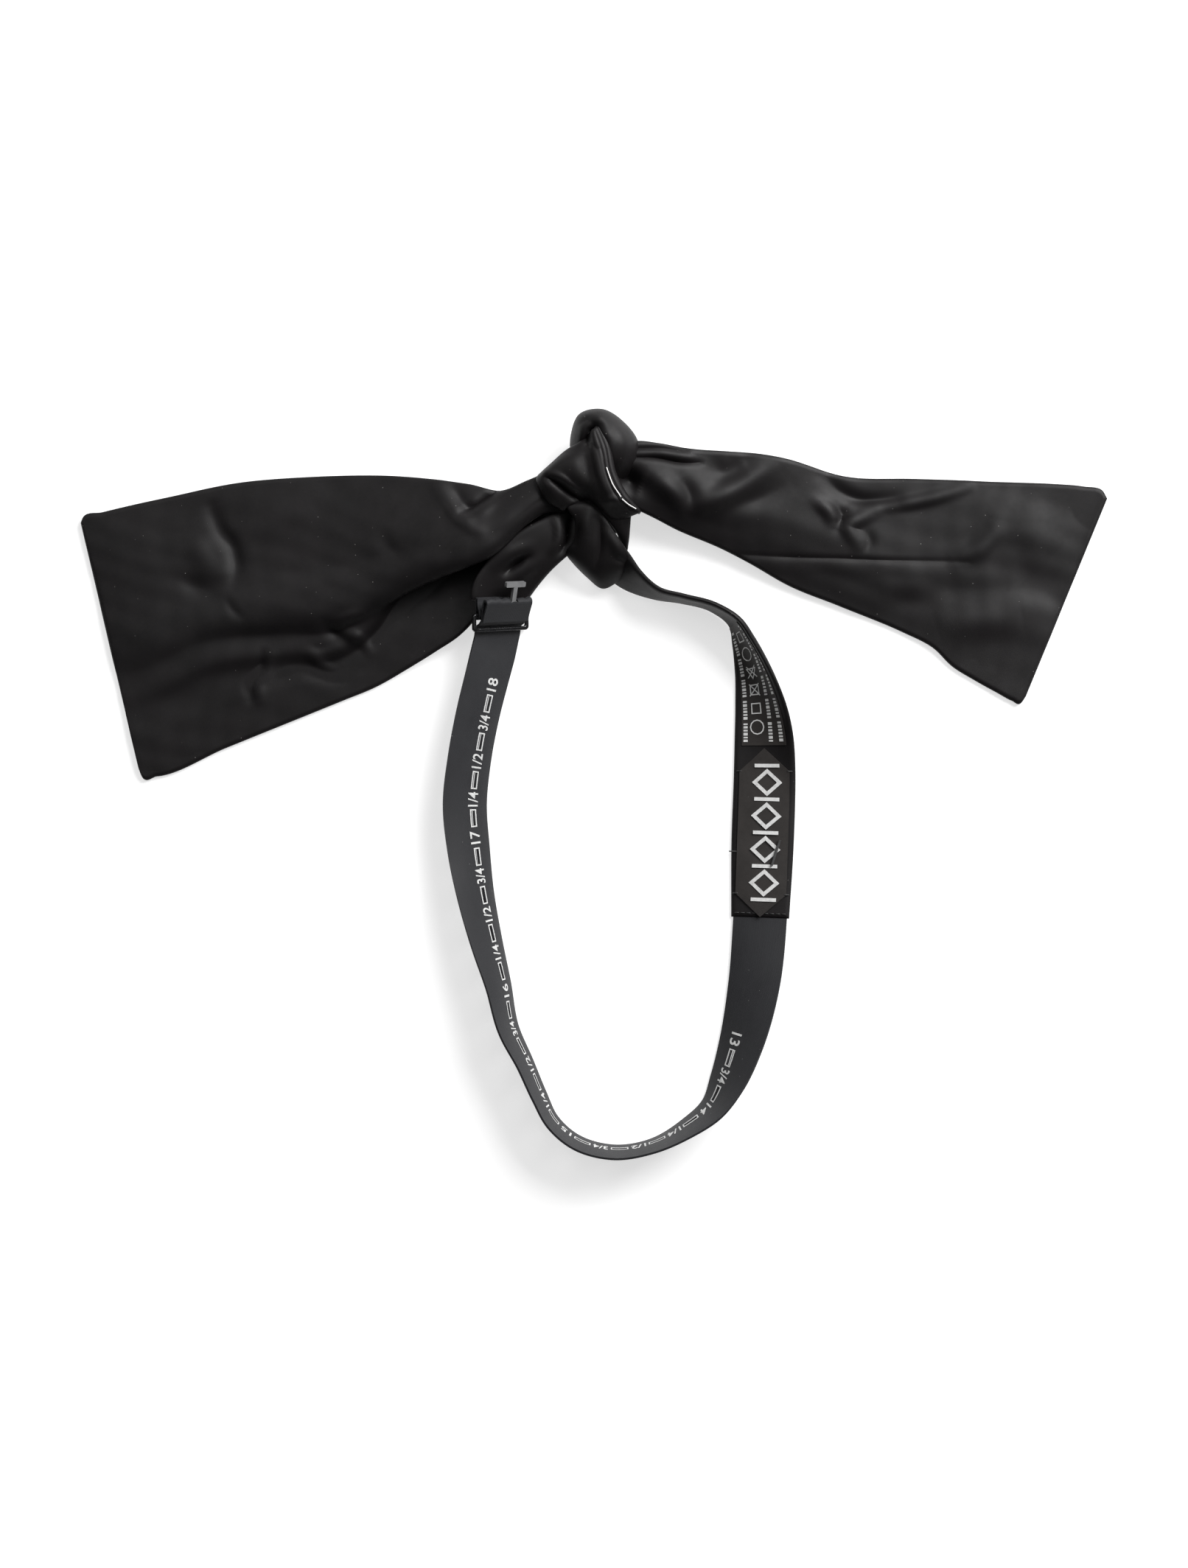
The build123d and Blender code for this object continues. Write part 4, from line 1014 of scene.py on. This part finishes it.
# ---------------------------------------------------------------- labels
# Two woven labels lie along the right neckband: a pointed one with a plain woven border pattern, held
# at its shoulders by small stitches, and a narrow one beside it with rows of small marks.
LABEL_THICKNESS = 0.25
LABEL_MIDDLE = 27.6
LABEL_HALF = 27.5
LABEL_HALF_WIDTH = 8.25
LABEL_POINT = 7.5
LABEL_LIFT = 1.35
LABEL_WAVE = 0.22
CARE_SPAN = (56.0, 98.0)
CARE_WIDTH = 15.0
CARE_LIFT = 1.12
PATTERN_SIDE = 0.9
PATTERN_HALF = 4.1
LOZENGE_LENGTH = 7.4
LOZENGE_COUNT = 4
PATTERN_STEP = 10.9
PATTERN_STROKE = 1.15
LABEL_DARK = (0.0140, 0.0120, 0.0112)
LABEL_LIGHT = (0.0240, 0.0210, 0.0196)
LABEL_WEAVE = finish(
    "woven_label", LABEL_DARK, LABEL_LIGHT, (0.5, 0.66), (0.22 * MM, 0.3 * MM, 0.5), 0.03 * MM,
    lint=0.3, patches=150.0, sheen=0.04, spec=0.25,
)
label_along = LABEL_MIDDLE + LABEL_HALF * (2 * crowded(110) - 1)
to_tip = LABEL_HALF - np.abs(label_along - LABEL_MIDDLE)
label_width = LABEL_HALF_WIDTH * np.clip(to_tip / LABEL_POINT, 0.004, 1)
label_across = label_width[:, None] * (2 * crowded(26)[None] - 1)
loose = np.sin(np.pi * np.clip(to_tip / LABEL_HALF, 0, 1) / 2)[:, None]
wavy = LABEL_WAVE * np.sin(label_along / 5.2)[:, None] * loose * (1 - (label_across / 9) ** 2)
label = cloth_piece(
    "pointed_label", right_band.point(label_along[:, None], label_across, LABEL_LIFT + wavy), LABEL_WEAVE
)
thicken(label, LABEL_THICKNESS)
settle(label, "tie", "woven_label", "maker_label")
care_along = np.linspace(*CARE_SPAN, 60)
care_across = CARE_WIDTH * np.linspace(-0.5, 0.5, 16)
care = cloth_piece(
    "narrow_label", right_band.point(care_along[:, None], care_across[None], CARE_LIFT), LABEL_WEAVE
)
thicken(care, LABEL_THICKNESS)
settle(care, "tie", "woven_label", "care_label")

pattern_lift = LABEL_LIFT + LABEL_THICKNESS / 2 + LABEL_WAVE + 0.05
pattern = []
for number in range(LOZENGE_COUNT + 1):
    middle = LABEL_MIDDLE + PATTERN_STEP * (number - LOZENGE_COUNT / 2)
    bar = [(middle, PATTERN_SIDE - PATTERN_HALF), (middle, PATTERN_SIDE + PATTERN_HALF)]
    pattern.append(stroke(right_band, bar, PATTERN_STROKE, pattern_lift))
    if number == LOZENGE_COUNT:
        break
    middle += PATTERN_STEP / 2
    corners = [
        (middle - LOZENGE_LENGTH / 2, PATTERN_SIDE), (middle, PATTERN_SIDE + PATTERN_HALF),
        (middle + LOZENGE_LENGTH / 2, PATTERN_SIDE), (middle, PATTERN_SIDE - PATTERN_HALF),
    ]
    pattern.append(stroke(right_band, corners, PATTERN_STROKE, pattern_lift, closed=True))
settle(thicken(joined("label_pattern", pattern), 0.12), "tie", "white_thread")

# Rows of small dashes in three lines, and plain shapes in a line between them.
DASH_LINES = [(-6.2, 1.4), (2.4, 1.4), (6.0, 1.4)]  # outwards from the middle, height
SHAPE_LINE = -2.2
SHAPE_HALF = 2.3
SHAPE_STEP = 6.2
SHAPE_STROKE = 0.36
SHAPE_SIDES = (12, 4, 4, 3, 12, 4)
CROSSED_SHAPES = (2, 3)
CROSS_HALF = 2.0
care_lift = CARE_LIFT + LABEL_THICKNESS / 2 + 0.05
marks = []
for line, (offset, height) in enumerate(DASH_LINES):
    spot = CARE_SPAN[0] + 1.2
    number = 0
    while spot < CARE_SPAN[1] - 2.0:
        length = (0.75, 0.5, 0.9, 0.6)[(number + line) % 4]
        dash = [(spot, offset), (spot + length, offset)]
        marks.append(stroke(right_band, dash, height, care_lift))
        spot += length + (1.3 if number % 6 == 5 else 0.42)
        number += 1
for number, sides in enumerate(SHAPE_SIDES):
    middle = CARE_SPAN[0] + 6.0 + SHAPE_STEP * number
    turn = math.pi / 4 if sides == 4 else math.pi / 2
    ring = []
    for corner in range(sides):
        angle = turn + 2 * math.pi * corner / sides
        ring.append((middle - SHAPE_HALF * math.sin(angle), SHAPE_LINE + SHAPE_HALF * math.cos(angle)))
    marks.append(stroke(right_band, ring, SHAPE_STROKE, care_lift, closed=True))
    if number in CROSSED_SHAPES:
        for rise in (-CROSS_HALF, CROSS_HALF):
            cross = [(middle - CROSS_HALF, SHAPE_LINE - rise), (middle + CROSS_HALF, SHAPE_LINE + rise)]
            marks.append(stroke(right_band, cross, SHAPE_STROKE, care_lift))
settle(thicken(joined("narrow_label_marks", marks), 0.06), "tie", "white_thread")

# ---------------------------------------------------------------- stitching and tag pin
# Black stitches hold the tape's fold, the seam and the label's shoulders. Two long white tacking
# stitches are left in the edge of the wrap, and the cut end of a nylon tag pin is left in the label.
STITCH_RADIUS = 0.17
BLACK_THREAD = finish(
    "black_thread", (0.006, 0.006, 0.006), (0.02, 0.02, 0.02), (0.45, 0.6), (0.2 * MM, 0.2 * MM, 0.0),
    0.01 * MM, patches=800.0,
)
WHITE_THREAD = finish(
    "white_tacking_thread", (0.62, 0.61, 0.6), (0.8, 0.79, 0.78), (0.5, 0.65),
    (0.15 * MM, 0.15 * MM, 0.0), 0.01 * MM, patches=800.0,
)
NYLON = finish(
    "grey_nylon", (0.03, 0.03, 0.03), (0.06, 0.06, 0.06), (0.25, 0.35), (0.5 * MM, 0.5 * MM, 0.0),
    0.004 * MM, patches=300.0,
)


def thread_along(name, points, radius, material):
    """A thread through points, with rounded ends, as one closed mesh."""
    clear_selection()
    line = bpy.data.curves.new(name, "CURVE")
    line.dimensions = "3D"
    line.bevel_depth = radius * MM
    line.bevel_resolution = 2
    line.use_fill_caps = True
    spline = line.splines.new("NURBS")
    spline.points.add(len(points) - 1)
    for point, place in zip(spline.points, points):
        point.co = (*(value * MM for value in place), 1)
    spline.order_u = 3
    spline.use_endpoint_u = True
    thread = bpy.data.objects.new(name, line)
    bpy.context.scene.collection.objects.link(thread)
    thread.select_set(True)
    bpy.context.view_layer.objects.active = thread
    bpy.ops.object.convert(target="MESH")
    thread = bpy.context.object
    bpy.ops.object.mode_set(mode="EDIT")
    bpy.ops.mesh.select_all(action="SELECT")
    bpy.ops.mesh.remove_doubles(threshold=0.001 * MM)
    bpy.ops.mesh.normals_make_consistent(inside=False)
    bpy.ops.object.mode_set(mode="OBJECT")
    thread.data.materials.clear()
    thread.data.materials.append(material)
    bpy.ops.object.shade_smooth_by_angle(angle=math.radians(60))
    return thread


def stitch(place, start, end, radius=STITCH_RADIUS):
    """One stitch that dips into the cloth at both ends. place gives points from (share, lift)."""
    points = [place(start, -0.25), place(start, 0.1), place(end, 0.1), place(end, -0.25)]
    return thread_along("stitch", points, radius, BLACK_THREAD)


STITCH_COUNT = 9
FOLD_STITCH = (1.8, 0.6)  # spacing and half length
SEAM_STITCH = (1.9, 0.65)
stitches = []
for number in range(STITCH_COUNT):
    offset = (number - (STITCH_COUNT - 1) / 2) * FOLD_STITCH[0]

    def on_fold(across, lift):
        return tuple(hardware_strip([(3.5, 3.95 + lift)], [across])[0, 0])

    stitches.append(stitch(on_fold, offset - FOLD_STITCH[1], offset + FOLD_STITCH[1]))
settle(joined("fold_stitches", stitches), "tie", "black_thread", "hem_stitching")

stitches = []
for number in range(STITCH_COUNT):
    offset = (number - (STITCH_COUNT - 1) / 2) * SEAM_STITCH[0]

    def on_seam(across, lift):
        return tuple(right_band.point(1.3, across, HALF_STACK + SILK_THICKNESS / 2 + lift))

    stitches.append(stitch(on_seam, offset - SEAM_STITCH[1], offset + SEAM_STITCH[1]))
settle(joined("seam_stitches", stitches), "tie", "black_thread", "seam_stitching")

stitches = []
for side in (-1, 1):
    for end in (-1, 1):
        along = LABEL_MIDDLE + end * (LABEL_HALF - LABEL_POINT)

        def on_shoulder(share, lift):
            height = HALF_STACK + 0.25 + (1 - share) * 0.5 + lift
            return tuple(right_band.point(along, side * (LABEL_HALF_WIDTH - 0.7 + 1.5 * share), height))

        stitches.append(stitch(on_shoulder, 0, 1, 0.2))
settle(joined("shoulder_stitches", stitches), "tie", "black_thread", "label_tacks")


def height_over(surface, x, y):
    """The top of a sheet near a point in plan."""
    near = np.linalg.norm(surface[..., :2] - (x, y), axis=-1) < 0.8
    return surface[..., 2][near].max()


TACKING_LINES = [
    [(4.0, 101.6), (4.9, 98.8), (6.0, 96.0), (7.6, 93.7), (8.6, 92.2)],
    [(9.0, 91.5), (10.6, 90.1), (12.1, 89.2), (13.5, 88.5)],
]
tacking = []
for line in TACKING_LINES:
    points = [(x, y, height_over(wrap, x, y) + KNOT_THICKNESS / 2 + 0.15) for x, y in line]
    tacking.append(thread_along("tacking", points, 0.2, WHITE_THREAD))
settle(joined("white_tacking", tacking), "tie", "white_thread", "tacking_thread")

PIN_AT = (21.2, 4.4)  # along the neckband, outwards
PIN_HALF = 4.4
PIN_HEADING = math.radians(74)
PIN_THREAD_RUN = 15.2
pin_lift = LABEL_LIFT + LABEL_THICKNESS / 2 + 0.35 + 0.5
pin_points = []
for reach in (-PIN_HALF, -PIN_HALF / 2, 0, PIN_HALF / 2, PIN_HALF):
    along = PIN_AT[0] + reach * math.sin(PIN_HEADING)
    pin_points.append(tuple(right_band.point(along, PIN_AT[1] + reach * math.cos(PIN_HEADING), pin_lift)))
pin_bar = thread_along("tag_bar", pin_points, 0.42, NYLON)
under_label = HALF_STACK + SILK_THICKNESS / 2 + 0.16
tail = [tuple(right_band.point(*PIN_AT, lift)) for lift in (pin_lift, under_label)]
tail += [
    tuple(right_band.point(PIN_AT[0], PIN_AT[1] - PIN_THREAD_RUN * share, under_label))
    for share in (0.15, 0.4, 0.7, 1)
]
pin_tail = thread_along("tag_tail", tail, 0.2, NYLON)
settle(joined("tag_pin", [pin_bar, pin_tail]), "tie", "nylon", "tag_barb")
